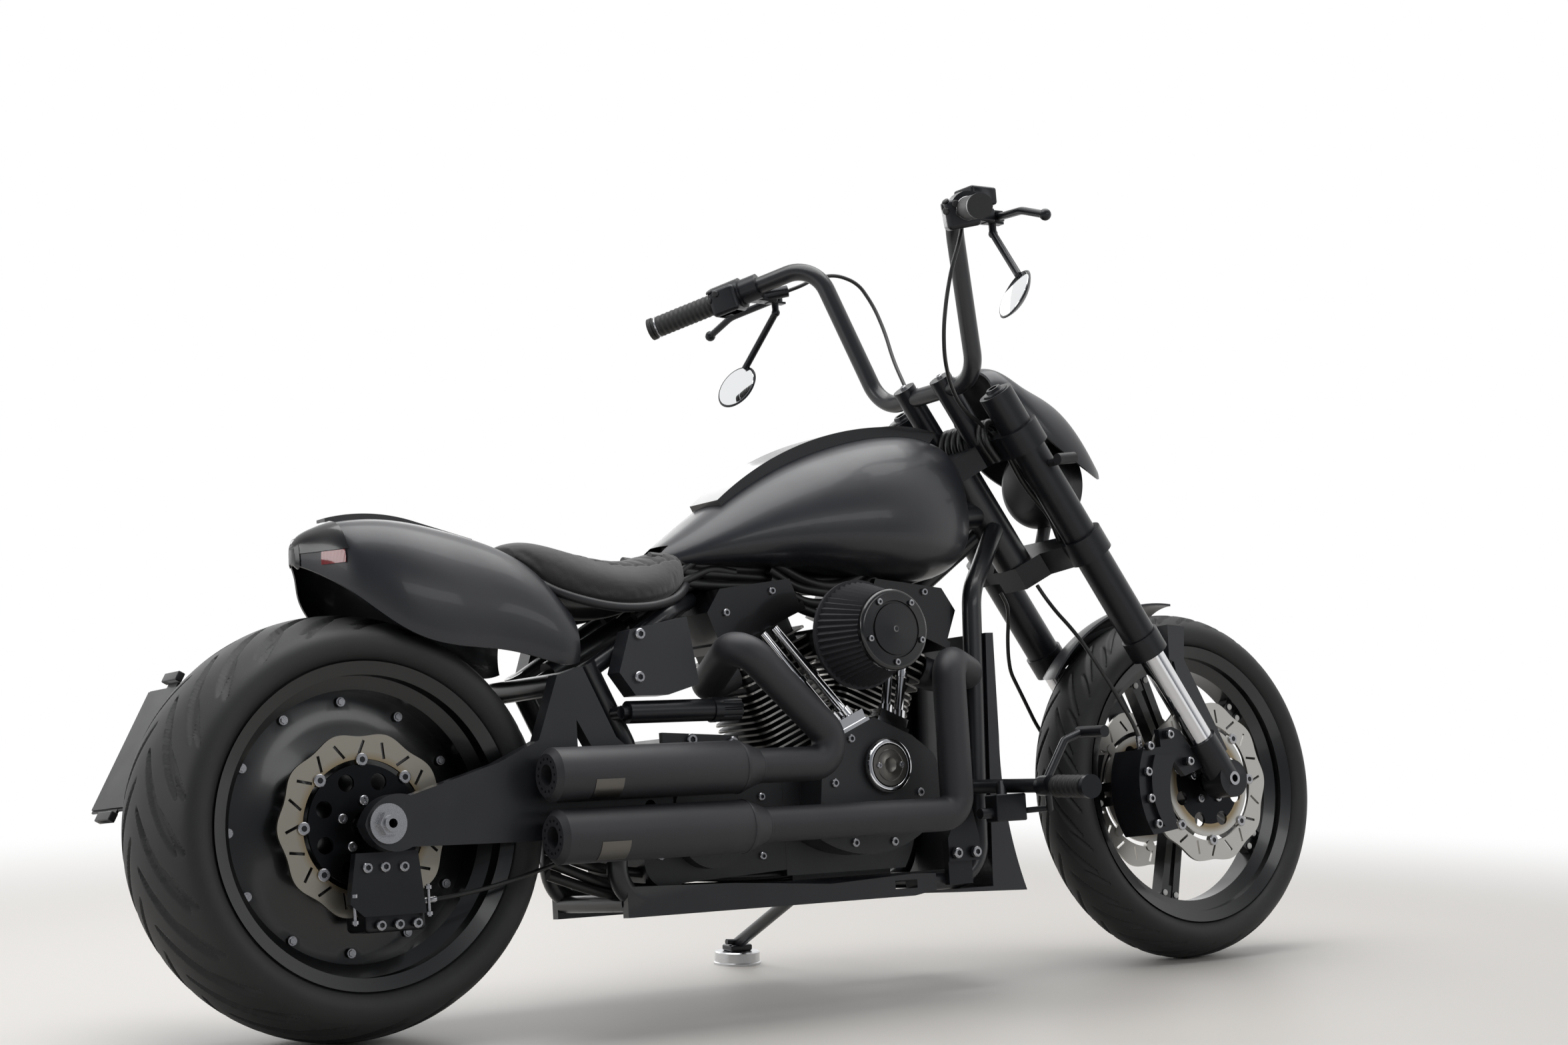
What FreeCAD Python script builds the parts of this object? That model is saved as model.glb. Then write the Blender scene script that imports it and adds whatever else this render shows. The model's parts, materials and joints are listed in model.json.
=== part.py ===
"""Chopper motorcycle, parked leaning on its side stand. Millimetres, +X forward, +Y left, +Z up.

Every piece is drawn on the upright motorcycle: x is 0 at the rear axle, y is 0 in the middle plane
and z is 0 on the ground. Then the fork group is turned by its resting steering angle, the whole
motorcycle leans to its left until the stand's foot carries it, and both tyres touch the floor.
"""
import FreeCAD, Part
import math
import os
from FreeCAD import Placement, Rotation, Vector

# Whole motorcycle
WHEELBASE = 1710.0
RAKE = 34.0
TRAIL = 145.0
LEAN = 6.32
STEER_REST = 3.4
FIT = 0.3
RUNNING_GAP = 6.0

# Tyres and wheels
REAR_TYRE_R = 325.0
REAR_TYRE_HALF = 130.0
REAR_SIDEWALL = 78.5
REAR_RIM_HALF = 118.0
FRONT_TYRE_R = 319.3
FRONT_TYRE_HALF = 66.0
FRONT_SIDEWALL = 64.0
FRONT_RIM_HALF = 53.0
FENDER_SKIN = 5.0
CROWN_DROP = 30.0
FENDER_GAP = 24.0
FRONT_FENDER_SKIN = 4.0
FENDER_FRONT = 84.0
FENDER_REAR = 30.0
FRONT_CROWN_DROP = 21.0
TYRE_WALL = 12.0
RIM_WALL = 8.0
LIP_WALL = 6.0
SPOKE_PAIRS = 5
SPOKE_WIDTH = 16.0
SPOKE_FOOT_GAP = 22.0
SPOKE_TIP_GAP = 28.0
SPOKE_DEPTH = 26.0
FIRST_SPOKE = 111.5
SPOKE_CAP_R = 5.5
SPOKE_CAP_IN = 13.0
FLANGE_BOLTS = 12
FLANGE_BOLT_R = 6.0
FLANGE_DEPTH = 30.0
HUB_R = 44.0
AXLE_R = 12.5
AXLE_BORE_R = 7.0
DISC_THICKNESS = 5.0
DISC_WAVES = 10
DISC_WAVE_DEPTH = 7.0
FRONT_DISC_R = 150.0
FRONT_DISC_Y = 83.0
REAR_DISC_R = 141.0
REAR_DISC_Y = 97.0
DISC_BAND = 34.0
SLOT_LENGTH = 25.0
SLOT_WIDTH = 4.5
SLOT_TILT = 24.0
BOBBINS = 8
BOBBIN_R = 10.0
CARRIER_WINDOW_R = 13.0
CARRIER_STEP = 16.0

# Belt drive on the left
PULLEY_R = 112.0
DRIVER_R = 46.0
DRIVER_X = 575.0
DRIVER_Z = 318.0
BELT_Y = 148.0
BELT_WIDTH = 20.0
BELT_THICKNESS = 5.0

# Fork and steering head
FORK_PITCH = 130.0
OUTER_TUBE_R = 31.0
INNER_TUBE_R = 23.5
OUTER_TUBE_LOW = 283.0
OUTER_TUBE_TOP = 846.0
FOOT_TOP = 92.0
LOWER_CLAMP_AT = 520.0
UPPER_CLAMP_AT = 752.0
CLAMP_HEIGHT = 44.0
STEM_R = 15.0
HEAD_TUBE_R = 33.0
BACKBONE_R = 27.0

# Frame
RAIL_Y = 105.0
RAIL_Z = 180.0
RAIL_R = 17.0
DOWNTUBE_X = 1152.0
UPRIGHT_X = 455.0
ARM_INNER_Y = 150.0
ARM_OUTER_Y = 178.0
PIVOT_INNER_Y = 137.0
RAIL_REAR_X = 420.0

# Engine
CRANK_X = 895.0
CRANK_Z = 285.0
VEE_HALF = 22.5
CASE_HALF = 92.0
DECK_AT = 138.0
FIN_PITCH = 11.0
FIN_THICKNESS = 3.2
BARREL_FINS = 11
HEAD_FINS = 5
FIN_LONG = 156.0
FIN_WIDE = 150.0
BARREL_R = 58.0
HEAD_CAP = 18.0
COVER_DEPTH = 62.0
FILTER_BASE_R = 88.0
FILTER_TIP_R = 64.0
FILTER_LENGTH = 88.0
FILTER_PLEATS = 48
FILTER_FOLD = 5.0
FILTER_BACK = 24.0
FILTER_FACE_Y = -184.0
FILTER_Z = 594.0
COVER_R = 67.0
TIMING_R = 45.0
DECK_PEAK_X = 914.0
DECK_PEAK_Z = 458.0
DECK_RUN = 76.0
DECK_SLOPE = math.tan(math.radians(VEE_HALF))
LIFTER_LONG = 58.0
LIFTER_HEIGHT = 22.0
PUSHROD_R = 8.0

# Exhaust
PIPE_R = 28.0
PIPE_WALL = 3.0
MUFFLER_R = 42.0
MUFFLER_WALL = 3.0
UPPER_PIPE_Y = -224.0
UPPER_PIPE_Z = 384.0
LOWER_PIPE_Y = -234.0
LOWER_PIPE_Z = 290.0
MUFFLER_REAR_X = 246.0
MUFFLER_FRONT_X = 590.0
CONE_FRONT_X = 628.0
BORE_R = 17.0
CAP_DEPTH = 40.0
CAP_HOLES = 14
CAP_HOLE_R = 2.4

# Handlebar, measured from the front axle's middle with the fork straight ahead
BAR_R = 16.0
BAR_MID_BACK = 517.0
BAR_MID_UP = 720.7
BAR_LOW_Y = 133.0
BAR_TOP_AT = Vector(-596.0, 198.0, 1002.7)
GRIP_END_AT = Vector(-771.0, 466.0, 929.7)
GRIP_LENGTH = 122.0
GRIP_R = 19.0
RISER_Y = 51.0
RISER_R = 21.0
MIRROR_R = 45.0

# Cords
HOSE_R = 3.5
HOSE_LIFT = 1.0

# Side stand
STAND_PIVOT = Vector(955.0, 140.0, 178.0)
STAND_AXIS = Vector(-0.10, 0.40, 0.91)
STAND_BOSS_R = 14.0
STAND_BOSS_HALF = 12.0
STAND_PIN_R = 6.0
FOOT_X = 970.0
FOOT_Y = 400.0
FOOT_HEIGHT = 12.0
PUCK_R = 43.0
PUCK_HEIGHT = 24.0
LEG_R = 11.0

# The origin's place on the floor, measured from the rear axle's foot
ORIGIN_X = 852.0
ORIGIN_Y = 129.0

X, Y, Z = Vector(1, 0, 0), Vector(0, 1, 0), Vector(0, 0, 1)
REAR_CENTRE = Vector(0, 0, REAR_TYRE_R)
FRONT_CENTRE = Vector(WHEELBASE, 0, FRONT_TYRE_R)
REAR_RIM_LIP_R = REAR_TYRE_R - REAR_SIDEWALL
FRONT_RIM_LIP_R = FRONT_TYRE_R - FRONT_SIDEWALL
HEAD_UP = Vector(-math.sin(math.radians(RAKE)), 0, math.cos(math.radians(RAKE)))
HEAD_AHEAD = Vector(math.cos(math.radians(RAKE)), 0, math.sin(math.radians(RAKE)))
FORK_OFFSET = FRONT_TYRE_R * math.sin(math.radians(RAKE)) - TRAIL * math.cos(math.radians(RAKE))
BAR_TOP = FRONT_CENTRE + BAR_TOP_AT
GRIP_END = FRONT_CENTRE + GRIP_END_AT
BAR_MID = FRONT_CENTRE + Vector(-BAR_MID_BACK, 0, BAR_MID_UP)
HEAD_FOOT = Vector(WHEELBASE + TRAIL, 0, 0)


# Drawing helpers

def turned_to(shape, base, direction):
    """A shape drawn along Z from the origin, stood at base along a direction."""
    shape.Placement = Placement(base, Rotation(Z, direction)).multiply(shape.Placement)
    return shape


def closed_face(place, start, *steps):
    """A face from start round its steps: the end of a straight run, or (middle, end) of an arc."""
    edges = []
    here = start
    for step in steps:
        if isinstance(step[0], tuple):
            edges.append(Part.Arc(place(*here), place(*step[0]), place(*step[1])).toShape())
            here = step[1]
        else:
            edges.append(Part.makeLine(place(*here), place(*step)))
            here = step
    if math.dist(here, start) > 1e-6:
        edges.append(Part.makeLine(place(*here), place(*start)))
    return Part.Face(Part.Wire(edges))


def slab(y_low, y_high, start, *steps):
    """A side-view outline of (x, z) points carried across from y_low to y_high."""
    face = closed_face(lambda x, z: Vector(x, y_low, z), start, *steps)
    return face.extrude(Vector(0, y_high - y_low, 0))


def lathe(base, direction, start, *steps):
    """An outline of (radius, distance) points turned about an axis through base."""
    face = closed_face(lambda r, h: Vector(r, 0, h), start, *steps)
    return turned_to(face.revolve(Vector(), Z, 360), base, direction)


def rod(start, end, radius):
    return Part.makeCylinder(radius, (end - start).Length, start, end - start)


def pipe(start, end, outer, inner):
    return rod(start, end, outer).cut(rod(start, end, inner))


def block(x, y, z, size_x, size_y, size_z, fillet=0.0):
    """A box about its middle, with all its edges rounded where a fillet is given."""
    box = Part.makeBox(size_x, size_y, size_z, Vector(x - size_x / 2, y - size_y / 2, z - size_z / 2))
    return box.makeFillet(fillet, box.Edges) if fillet else box


def unit(vector):
    return Vector(vector).multiply(1 / vector.Length)


def bent_path(points, bend):
    """Straight runs through the points, joined by tangent arcs of one radius."""
    edges = []
    start = points[0]
    for before, corner, after in zip(points, points[1:], points[2:]):
        back = unit(before - corner)
        ahead = unit(after - corner)
        half = back.getAngle(ahead) / 2
        inward = unit(back + ahead)
        first = corner + back * (bend / math.tan(half))
        last = corner + ahead * (bend / math.tan(half))
        middle = corner + inward * (bend / math.sin(half) - bend)
        if (first - start).Length > FIT:
            edges.append(Part.makeLine(start, first))
        edges.append(Part.Arc(first, middle, last).toShape())
        start = last
    edges.append(Part.makeLine(start, points[-1]))
    return Part.Wire(edges)


def bent_rod(points, radius, bend):
    profile = Part.Wire(Part.makeCircle(radius, points[0], points[1] - points[0]))
    return bent_path(points, bend).makePipeShell([profile], True, False)


def bent_pipe(points, outer, inner, bend):
    return bent_rod(points, outer, bend).cut(bent_rod(points, inner, bend))


def cord_radii(points):
    """Each corner's radius: 0.45 of its shorter run over the tangent of half the turn."""
    radii = []
    for before, corner, after in zip(points, points[1:], points[2:]):
        shorter = min((corner - before).Length, (after - corner).Length)
        turn = (corner - before).getAngle(after - corner)
        radii.append(0.45 * shorter / math.tan(turn / 2))
    return radii


def cord(name, points, radius):
    """A tube along straight runs joined by tangent arcs as large as the runs allow."""
    radii = cord_radii(points)
    edges = []
    start = points[0]
    for (before, corner, after), bend in zip(zip(points, points[1:], points[2:]), radii):
        back = unit(before - corner)
        ahead = unit(after - corner)
        half = back.getAngle(ahead) / 2
        first = corner + back * (bend / math.tan(half))
        last = corner + ahead * (bend / math.tan(half))
        middle = corner + unit(back + ahead) * (bend / math.sin(half) - bend)
        edges.append(Part.makeLine(start, first))
        edges.append(Part.Arc(first, middle, last).toShape())
        start = last
    edges.append(Part.makeLine(start, points[-1]))
    path = Part.Wire(edges)
    profile = Part.Wire(Part.makeCircle(radius, points[0], points[1] - points[0]))
    tube = path.makePipeShell([profile], True, False)
    share = tube.Volume / (math.pi * radius ** 2 * path.Length)
    print(name, "length", round(path.Length), "volume share", round(share, 4),
          "radii", [round(r) for r in radii])
    return tube


def mirrored(shape):
    """The same shape on the other side of the middle plane."""
    return shape.mirror(Vector(), Y)


def both_sides(shape):
    return [shape, mirrored(shape)]


def joined(shapes):
    first, *others = shapes
    solid = first.multiFuse(others) if others else first
    return solid.removeSplitter()


def loft(sections):
    return Part.makeLoft(sections, True, False)


def rounded_section(x, points):
    """A smooth closed section across the motorcycle, from its right half's (y, z) points."""
    right = [Vector(x, -y, z) for y, z in points]
    left = [Vector(x, y, z) for y, z in reversed(points) if y > 0]
    curve = Part.BSplineCurve()
    curve.interpolate(right + left, PeriodicFlag=True)
    return Part.Wire(curve.toShape())


def head_point(distance, ahead=0.0, y=0.0):
    """A point by its distance up the steering axis from the axle's height, and ahead of the axis."""
    foot = FRONT_CENTRE - HEAD_AHEAD * FORK_OFFSET
    return foot + HEAD_UP * distance + HEAD_AHEAD * ahead + Y * y


def from_axle(back, out, up):
    """A point of the fork group, measured back from the front axle's middle, outwards and up."""
    return FRONT_CENTRE + Vector(-back, out, up)


def fork_point(distance, y=FORK_PITCH):
    """A point on the middle line of a fork leg, by its distance up from the axle."""
    return head_point(distance, FORK_OFFSET, y)


# Wheels

def crown_radius(half, drop):
    shoulder = half - TYRE_WALL
    return (shoulder ** 2 + drop ** 2) / (2 * drop)


def tyre(centre, radius, half, drop, lip_radius, rim_half):
    """The carcass: a round crown, bulging sides and two beads inside the rim's lips."""
    shoulder = half - TYRE_WALL
    bead = lip_radius - 2 * LIP_WALL + FIT
    bead_y = rim_half - LIP_WALL - FIT
    inner = half - TYRE_WALL - LIP_WALL / 2
    side_r = (lip_radius + radius - drop) / 2
    outline = [
        (bead, bead_y - TYRE_WALL),
        (bead, bead_y),
        (lip_radius + FIT, bead_y),
        ((side_r, half), (radius - drop, shoulder)),
        ((radius, 0), (radius - drop, -shoulder)),
        ((side_r, -half), (lip_radius + FIT, -bead_y)),
        (bead, -bead_y),
        (bead, -bead_y + TYRE_WALL),
        (side_r, -inner),
        (radius - drop - TYRE_WALL, -shoulder + TYRE_WALL),
        ((radius - TYRE_WALL, 0), (radius - drop - TYRE_WALL, shoulder - TYRE_WALL)),
        (side_r, inner),
    ]
    return lathe(centre, Y, *outline)


def spoke_pair(centre, inner_r, outer_r, angle):
    """Two flat spokes under one yoke at the rim, with a capped bolt in each."""
    half = SPOKE_WIDTH / 2
    pieces = []
    for side in (-1, 1):
        foot = side * SPOKE_FOOT_GAP / 2
        tip = side * SPOKE_TIP_GAP / 2
        face = closed_face(lambda x, z: Vector(x, -SPOKE_DEPTH / 2, z),
                           (inner_r, foot - half), (outer_r, tip - half),
                           (outer_r, tip + half), (inner_r, foot + half))
        pieces.append(face.extrude(Y * SPOKE_DEPTH))
        cap = Vector(outer_r - SPOKE_CAP_IN, 0, tip)
        pieces.append(rod(cap - Y * (SPOKE_DEPTH / 2 + 2), cap + Y * (SPOKE_DEPTH / 2 + 2), SPOKE_CAP_R))
    yoke = SPOKE_TIP_GAP / 2 + half
    face = closed_face(lambda x, z: Vector(x, -SPOKE_DEPTH / 2 + 2, z),
                       (outer_r, -yoke - 4), (outer_r, yoke + 4), (outer_r - 12, yoke),
                       ((outer_r - 2.2 * SPOKE_CAP_IN, 0), (outer_r - 12, -yoke)))
    pieces.append(face.extrude(Y * (SPOKE_DEPTH - 4)))
    for piece in pieces:
        piece.translate(centre)
        piece.rotate(centre, Y, -angle)
    return pieces


def rim_barrel(centre, lip_radius, half, seat_width):
    """The barrel: a lip, a bead seat and a drop centre on each side of the middle."""
    seat = lip_radius - 2 * LIP_WALL
    well = well_radius(lip_radius)
    seat_y = half - LIP_WALL
    inner_seat_y = half - seat_width
    well_y = inner_seat_y - 10.0
    return lathe(centre, Y,
                 (lip_radius, half), (lip_radius, seat_y), (seat, seat_y), (seat, inner_seat_y),
                 (well, well_y), (well, -well_y), (seat, -inner_seat_y), (seat, -seat_y),
                 (lip_radius, -seat_y), (lip_radius, -half), (seat - RIM_WALL, -half + RIM_WALL),
                 (seat - RIM_WALL, -inner_seat_y), (well - RIM_WALL, -well_y),
                 (well - RIM_WALL, well_y), (seat - RIM_WALL, inner_seat_y),
                 (seat - RIM_WALL, half - RIM_WALL))


def well_radius(lip_radius):
    return lip_radius - 2 * LIP_WALL - 20.0


def hub(centre, half):
    return pipe(centre - Y * half, centre + Y * half, HUB_R, AXLE_R + FIT)


def wave_outline(radius, y):
    """A scalloped circle: the radius dips between equal waves."""
    count = DISC_WAVES * 6
    points = []
    for index in range(count):
        angle = 2 * math.pi * index / count
        dip = DISC_WAVE_DEPTH * (0.5 - 0.5 * math.cos(DISC_WAVES * angle))
        points.append(Vector((radius - dip) * math.cos(angle), y, (radius - dip) * math.sin(angle)))
    curve = Part.BSplineCurve()
    curve.interpolate(points, PeriodicFlag=True)
    return Part.Wire(curve.toShape())


def brake_disc(centre, radius, y, hub_side):
    """A scalloped, slotted friction ring on bobbins, and the windowed carrier that bolts to the hub."""
    low = y - DISC_THICKNESS / 2
    ring = Part.Face(wave_outline(radius, low)).extrude(Y * DISC_THICKNESS)
    inner_r = radius - DISC_BAND - DISC_WAVE_DEPTH
    ring = ring.cut(rod(Y * (low - 1), Y * (low + DISC_THICKNESS + 1), inner_r))
    middle_r = inner_r + 4 + SLOT_LENGTH / 2
    slots = []
    for index in range(2 * DISC_WAVES):
        tilt = SLOT_TILT if index % 2 else -SLOT_TILT
        slot = block(0, y, 0, SLOT_LENGTH, DISC_THICKNESS + 2, SLOT_WIDTH)
        slot.rotate(Vector(), Y, tilt)
        slot.translate(X * middle_r)
        slot.rotate(Vector(), Y, index * 180 / DISC_WAVES)
        slots.append(slot)
    ring = ring.cut(Part.makeCompound(slots))
    carrier_r = inner_r - 8.0
    step_y = y + hub_side * CARRIER_STEP
    carrier = pipe(Y * low, Y * (low + DISC_THICKNESS), carrier_r, AXLE_R + 8.0)
    flange = pipe(Y * min(y, step_y), Y * max(y, step_y), HUB_R + 8.0, AXLE_R + 8.0)
    window_r = (carrier_r + HUB_R) / 2 + 2
    windows = []
    pieces = []
    for index in range(BOBBINS):
        turn = Rotation(Y, index * 360 / BOBBINS)
        half_turn = Rotation(Y, (index + 0.5) * 360 / BOBBINS)
        out = turn.multVec(X * (inner_r - 1.0))
        pieces.append(rod(out + Y * (low - 2), out + Y * (low + DISC_THICKNESS + 2), BOBBIN_R))
        window = half_turn.multVec(X * window_r)
        windows.append(rod(window + Y * (low - 1), window + Y * (low + DISC_THICKNESS + 1), CARRIER_WINDOW_R))
    carrier = carrier.cut(Part.makeCompound(windows))
    disc = joined([ring, carrier, flange] + pieces)
    disc.translate(centre)
    return disc


def rear_tyre():
    return tyre(REAR_CENTRE, REAR_TYRE_R, REAR_TYRE_HALF, CROWN_DROP, REAR_RIM_LIP_R, REAR_RIM_HALF)


def front_tyre():
    return tyre(FRONT_CENTRE, FRONT_TYRE_R, FRONT_TYRE_HALF, FRONT_CROWN_DROP,
                FRONT_RIM_LIP_R, FRONT_RIM_HALF)


def rear_rim():
    """Wide barrel on a closed, dished centre that is bolted to its flange."""
    edge = well_radius(REAR_RIM_LIP_R) - RIM_WALL / 2
    flange_r = edge - 34.0
    dish = lathe(REAR_CENTRE, Y,
                 (HUB_R - 2, -62), (flange_r, -FLANGE_DEPTH), (edge, -FLANGE_DEPTH),
                 (edge, -FLANGE_DEPTH + 12),
                 (flange_r, -FLANGE_DEPTH + 12), (HUB_R - 2, -50))
    pieces = [rim_barrel(REAR_CENTRE, REAR_RIM_LIP_R, REAR_RIM_HALF, 34.0), dish,
              hub(REAR_CENTRE, REAR_DISC_Y - CARRIER_STEP - FIT)]
    for index in range(FLANGE_BOLTS):
        turn = Rotation(Y, index * 360 / FLANGE_BOLTS)
        bolt = REAR_CENTRE + turn.multVec(X * (flange_r + 14))
        pieces.append(rod(bolt - Y * (FLANGE_DEPTH + 5), bolt - Y * (FLANGE_DEPTH - 2), FLANGE_BOLT_R))
    return joined(pieces)


def front_rim():
    edge = well_radius(FRONT_RIM_LIP_R) - RIM_WALL / 2
    pieces = [rim_barrel(FRONT_CENTRE, FRONT_RIM_LIP_R, FRONT_RIM_HALF, 22.0),
              hub(FRONT_CENTRE, FRONT_DISC_Y - CARRIER_STEP - FIT)]
    for index in range(SPOKE_PAIRS):
        pieces += spoke_pair(FRONT_CENTRE, HUB_R - 6.0, edge, FIRST_SPOKE + index * 360 / SPOKE_PAIRS)
    return joined(pieces)


def rear_disc():
    return brake_disc(REAR_CENTRE, REAR_DISC_R, -REAR_DISC_Y, 1)


def front_discs():
    return Part.makeCompound([brake_disc(FRONT_CENTRE, FRONT_DISC_R, -FRONT_DISC_Y, 1),
                              brake_disc(FRONT_CENTRE, FRONT_DISC_R, FRONT_DISC_Y, -1)])


def rear_pulley():
    """Belt pulley with a web and a boss that reaches the hub."""
    half = BELT_WIDTH / 2
    hub_face = REAR_DISC_Y - CARRIER_STEP
    return lathe(REAR_CENTRE, Y,
                 (PULLEY_R, BELT_Y - half), (PULLEY_R, BELT_Y + half), (PULLEY_R - 12, BELT_Y + half),
                 (PULLEY_R - 12, BELT_Y - half + 6), (HUB_R, BELT_Y - half + 6),
                 (HUB_R, BELT_Y + half - 4), (AXLE_R + FIT, BELT_Y + half - 4),
                 (AXLE_R + FIT, hub_face), (HUB_R, hub_face), (HUB_R, BELT_Y - half))


# Chassis: frame and swingarm

def head_tube():
    return pipe(head_point(LOWER_CLAMP_AT + CLAMP_HEIGHT / 2 + FIT),
                head_point(UPPER_CLAMP_AT - CLAMP_HEIGHT / 2 - FIT), HEAD_TUBE_R, STEM_R + FIT)


def frame_tubes():
    """One side's tubes: downtube, lower rail, upright and seat rail."""
    neck = head_point(LOWER_CLAMP_AT + 90)
    down = bent_rod([neck + Vector(-20, 24, 0), Vector(DOWNTUBE_X + 24, RAIL_Y, neck.z - 120),
                     Vector(DOWNTUBE_X, RAIL_Y, RAIL_Z), Vector(RAIL_REAR_X, RAIL_Y, RAIL_Z),
                     Vector(UPRIGHT_X, 118, 420), Vector(385, 118, 560)], RAIL_R, 60.0)
    seat_rail = bent_rod([Vector(385, 118, 545), Vector(545, 118, 640), Vector(640, 30, 668)], 14.0, 40.0)
    return [down, seat_rail]


def backbone(radius):
    """The main tube under the tank, from the steering head to the seat."""
    return bent_rod([head_point(LOWER_CLAMP_AT + 130) + X * -16, Vector(1080, 0, 806),
                     Vector(624, 0, 737)], radius, 90.0)


def stand_lug():
    """Two ears on the left rail with the pin that the side stand turns on."""
    axis = unit(STAND_AXIS)
    reach = STAND_BOSS_HALF + 9.0
    ears = rod(STAND_PIVOT - axis * reach, STAND_PIVOT + axis * reach, STAND_BOSS_R + 1)
    root = Part.makeBox(2 * STAND_BOSS_R + 2, STAND_PIVOT.y - RAIL_Y, 2 * reach,
                        Vector(-STAND_BOSS_R - 1, RAIL_Y - STAND_PIVOT.y, -reach))
    root.Placement = Placement(STAND_PIVOT, Rotation(Z, axis))
    gap = rod(STAND_PIVOT - axis * (STAND_BOSS_HALF + FIT), STAND_PIVOT + axis * (STAND_BOSS_HALF + FIT),
              3 * STAND_BOSS_R)
    pin = rod(STAND_PIVOT - axis * (reach + 3), STAND_PIVOT + axis * (reach + 3), STAND_PIN_R)
    return ears.fuse(root).cut(gap).fuse(pin)


def frame():
    tubes = frame_tubes()
    tubes += [mirrored(tube) for tube in tubes]
    pivot = rod(Vector(UPRIGHT_X, -RAIL_Y, 330), Vector(UPRIGHT_X, RAIL_Y, 330), 24.0)
    cross_front = rod(Vector(1110, -RAIL_Y, RAIL_Z), Vector(1110, RAIL_Y, RAIL_Z), 14.0)
    cross_rear = rod(Vector(450, -RAIL_Y, RAIL_Z), Vector(450, RAIL_Y, RAIL_Z), 14.0)
    junction = block(630, 0, 697, 16, 2 * BACKBONE_R + 6, 94)
    webs = both_sides(slab(-RAIL_Y - 17, -RAIL_Y, (438, 157), (438, 206), (640, 200), (830, 187), (1000, 194),
                           (1046, 192),
                           (1046, 164), (1000, 157)))
    slots = [slab(-RAIL_Y - 30, RAIL_Y + 30, (960, 170), (960, 184), (1006, 184), (1006, 170))]
    solid = joined(tubes + webs + [junction, backbone(BACKBONE_R), head_tube(), pivot, cross_front,
                                   cross_rear, stand_lug()])
    solid = solid.cut(slots[0])
    bore = rod(head_point(LOWER_CLAMP_AT), head_point(UPPER_CLAMP_AT), STEM_R + FIT)
    pin_hole = rod(Vector(UPRIGHT_X, -300, 330), Vector(UPRIGHT_X, 300, 330), 10.0)
    return solid.cut(bore).cut(pin_hole)


def arm_plate(y_low, y_high):
    """One side of the swingarm: boss round the axle, arm to the pivot and the upper brace."""
    outline = slab(y_low, y_high,
                   (-36, REAR_TYRE_R), ((-12, REAR_TYRE_R + 34), (40, REAR_TYRE_R + 40)), (190, 408),
                   (262, 440),
                   (300, 540), (345, 552), (400, 440), (UPRIGHT_X + 30, 372),
                   ((UPRIGHT_X + 42, 330), (UPRIGHT_X + 20, 296)), (240, 286), (40, REAR_TYRE_R - 36),
                   ((-12, REAR_TYRE_R - 34), (-36, REAR_TYRE_R)))
    window = slab(y_low - 1, y_high + 1, (330, 400), (330, 470), (370, 400))
    return outline.cut(window)


def swingarm():
    right = arm_plate(-ARM_OUTER_Y, -ARM_INNER_Y)
    y_left = BELT_Y + BELT_WIDTH / 2 + RUNNING_GAP
    left = arm_plate(y_left, y_left + ARM_OUTER_Y - ARM_INNER_Y)
    hoop = rod(Vector(345, -ARM_INNER_Y - 2, 530), Vector(345, y_left + 2, 530), 18.0)
    sleeve = pipe(Vector(UPRIGHT_X, -ARM_INNER_Y - 2, 330), Vector(UPRIGHT_X, -PIVOT_INNER_Y, 330), 24.0,
                  10.0)
    sleeve_left = pipe(Vector(UPRIGHT_X, PIVOT_INNER_Y, 330), Vector(UPRIGHT_X, y_left + 2, 330), 24.0, 10.0)
    solid = joined([right, left, hoop, sleeve, sleeve_left])
    solid = solid.cut(rod(Vector(0, -300, REAR_TYRE_R), Vector(0, 300, REAR_TYRE_R), AXLE_R + FIT))
    return solid.cut(rod(Vector(UPRIGHT_X, -300, 330), Vector(UPRIGHT_X, 300, 330), 10.0))


def rear_axle():
    """Hollow axle with a nut on each side."""
    left_face = BELT_Y + BELT_WIDTH / 2 + RUNNING_GAP + ARM_OUTER_Y - ARM_INNER_Y
    shaft = rod(Vector(0, -ARM_OUTER_Y - 20, REAR_TYRE_R), Vector(0, left_face + 20, REAR_TYRE_R), AXLE_R)
    nuts = []
    for face, side in ((-ARM_OUTER_Y, -1), (left_face, 1)):
        start = Vector(0, face + side * FIT, REAR_TYRE_R)
        nuts.append(rod(start, start + Y * side * 5, 30.0))
        hexagon = [Vector(19 * math.cos(math.radians(60 * k)), 19 * math.sin(math.radians(60 * k)), 0)
                   for k in range(7)]
        nut = Part.Face(Part.makePolygon(hexagon)).extrude(Z * 15)
        nuts.append(turned_to(nut, start, Y * side))
    solid = joined([shaft] + nuts)
    return solid.cut(rod(Vector(0, -300, REAR_TYRE_R), Vector(0, 300, REAR_TYRE_R), AXLE_BORE_R))


def rear_shock():
    """Damper under the seat, from the swingarm's hoop to the backbone."""
    hoop, end = Vector(345, 0, 530), Vector(608, 0, 667)
    start = hoop + unit(end - hoop) * (18.0 + FIT)
    body = rod(start + (end - start) * 0.1, start + (end - start) * 0.66, 22.0)
    lug = block(622 - FIT - 9, 0, 668, 18, 24, 22)
    return joined([body, rod(start, end, 10.0), lug])


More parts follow.
